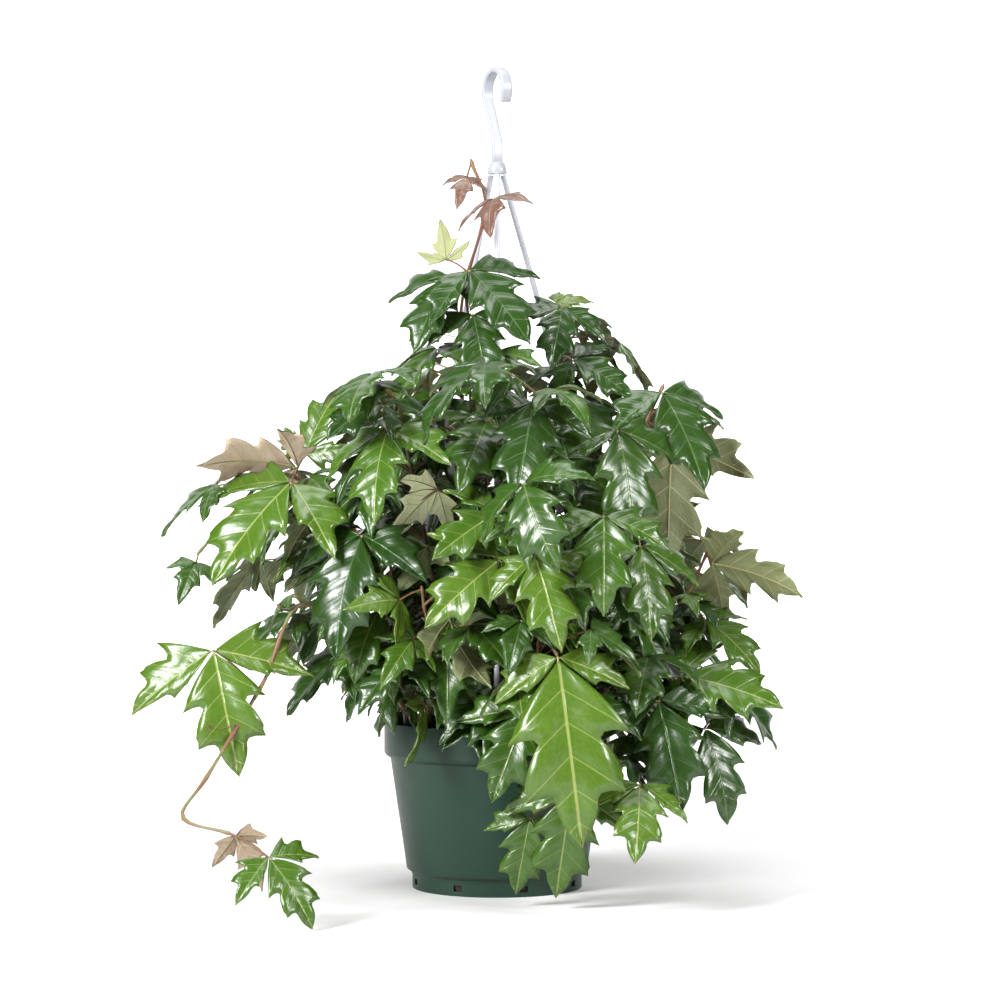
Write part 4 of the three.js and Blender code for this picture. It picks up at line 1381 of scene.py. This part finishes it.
# %% [markdown]
# ## Stems, stalks and tendrils
# The stem is a slender reddish cane with a swelling at each joint. A leaf stalk leaves a
# joint, arches up and carries its leaf at the hub. Thin tendrils curl away from a few
# joints. All are round, so they are curves whose radius changes from point to point.

# %% Stem finish
BARK = [(0.38, (0.12, 0.042, 0.02)), (0.5, (0.17, 0.078, 0.036)), (0.62, (0.15, 0.155, 0.06))]
STEM_FINISH, tree, shader = new_finish("stem_red_brown", (0.2, 0.07, 0.03), 0.45)
patches = colour_ramp(tree, object_noise(tree, 28, 2), BARK)
tree.links.new(patches, shader.inputs["Base Color"])
add_bump(tree, shader, object_noise(tree, 600, 3), distance=0.0002, strength=0.5)

# %% Stem lines
ROOT_RADIUS = 1.6
STEPS_PER_JOINT = 6
STALK_STEPS = 8
TENDRIL_STEPS = 35
TENDRIL_STRAIGHT = 0.35
TENDRIL_TURNS = 2.6


def stem_line(name):
    route = ROUTES[name]
    x, y = STEMS[name]["root"]
    line = [(np.array([x, y, SOIL_TOP + rise]), ROOT_RADIUS) for rise in (-8.0, 1.0)]
    steps = STEPS_PER_JOINT * STEM_STEPS
    half = STEPS_PER_JOINT / 2
    for step in range(steps + 1):
        from_joint = abs((step + half) % STEPS_PER_JOINT - half) / half
        radius = STEM_RADIUS * (1.06 - 0.4 * step / steps)
        line.append((route.at(step / steps), radius + 0.55 * (1 - from_joint) ** 2))
    line.append((route.at(1) + route.heading(1) * 3, 0.35))
    return line


def stalk_line(leaf):
    end = leaf["hub"] - leaf_frames(leaf)[0]["up"] * BLADE_THICKNESS * 0.38
    bow = (leaf["node"] + end) / 2
    bow[2] += np.linalg.norm(leaf["node"] - end) * 0.12
    line = []
    for step in range(STALK_STEPS + 1):
        t = step / STALK_STEPS
        place = leaf["node"] * (1 - t) ** 2 + bow * 2 * t * (1 - t) + end * t ** 2
        line.append((place, 0.62 + 0.4 * (1 - t) ** 6 + 0.25 * t ** 8))
    return line


def tendril_line(start, heading, chance):
    reach = 14 + 14 * chance.random()
    curl = 2.2 + 1.6 * chance.random()
    side = unit(np.cross(heading, (0.3, 0.2, 1)))
    rise = np.cross(side, heading)
    line = []
    for step in range(TENDRIL_STEPS + 1):
        t = step / TENDRIL_STEPS
        curled = max(t - TENDRIL_STRAIGHT, 0)
        turn = curled * 2 * math.pi * TENDRIL_TURNS
        ring = curl * (1 - 0.5 * t) * min(t / TENDRIL_STRAIGHT, 1)
        place = start + heading * reach * min(t / 0.5, 1) - rise * 3 * math.sin(t * 2.2)
        place = place + heading * ring * math.sin(turn) + rise * ring * (1 - math.cos(turn))
        line.append((place + side * 2.5 * curled, 0.34 * (1.15 - 0.7 * t)))
    return line


# %% [markdown]
# ## Putting each vine together
# A vine's leaves are joined into one piece and Solidify gives the blades their thickness,
# with the underside's own finish. Its stem, stalks and tendrils make a second piece.
# Both stand for the same solid.

# %% Build the vines
SHEET = 0.5
TENDRILS = 2


def join_as(name, pieces):
    bpy.ops.object.select_all(action="DESELECT")
    for piece in pieces:
        piece.select_set(True)
    bpy.context.view_layer.objects.active = pieces[0]
    bpy.ops.object.join()
    whole = bpy.context.object
    whole.name = name
    return whole


def make_leaves(name, leaves, chance):
    sheets = [sheet for leaf in leaves for sheet in leaf_sheets(leaf, chance)]
    blades = join_as("blades", sheets)
    bpy.ops.object.shade_smooth()
    coat(blades, *LEAF_FINISHES)
    apply_modifier(blades, "SOLIDIFY", thickness=SHEET * MM, offset=0, material_offset=1,
                   material_offset_rim=0, use_even_offset=False)
    lines = [rib_line(blade) for leaf in leaves for blade in leaf_frames(leaf)]
    ribs = thick_curves("ribs", lines, sides=0)
    coat(ribs, *LEAF_FINISHES)
    ribs.data.polygons.foreach_set("material_index", np.full(len(ribs.data.polygons), 2))
    whole = join_as("vine_" + name + "_leaves", [blades, ribs])
    stand_for(whole, "foliage", "vine_" + name)


def make_stem(name, leaves, chance):
    lines = [stem_line(name)] + [stalk_line(leaf) for leaf in leaves]
    for number in range(TENDRILS):
        along = (3.5 + 3 * number + chance.random()) / STEM_STEPS
        start = ROUTES[name].at(along)
        out = unit(np.array([start[0], start[1], 20 - 40 * chance.random()]))
        lines.append(tendril_line(start, out, chance))
    stem = thick_curves("vine_" + name + "_stem", lines, sides=1)
    coat(stem, STEM_FINISH)
    stand_for(stem, "foliage", "vine_" + name)


for number, name in enumerate(STEMS):
    own = [leaf for leaf in leaves if leaf["stem"] == name]
    chance = np.random.default_rng(100 + number)
    make_leaves(name, own, chance)
    make_stem(name, own, chance)

# %% Put the flat leaflets away
for flat in MASTERS.values():
    bpy.data.objects.remove(flat["leaflet"])
drawn = [o.data for o in bpy.data.objects if o.type == "MESH" and not o.hide_render]
print("triangles:", sum(len(face.vertices) - 2 for mesh in drawn for face in mesh.polygons))
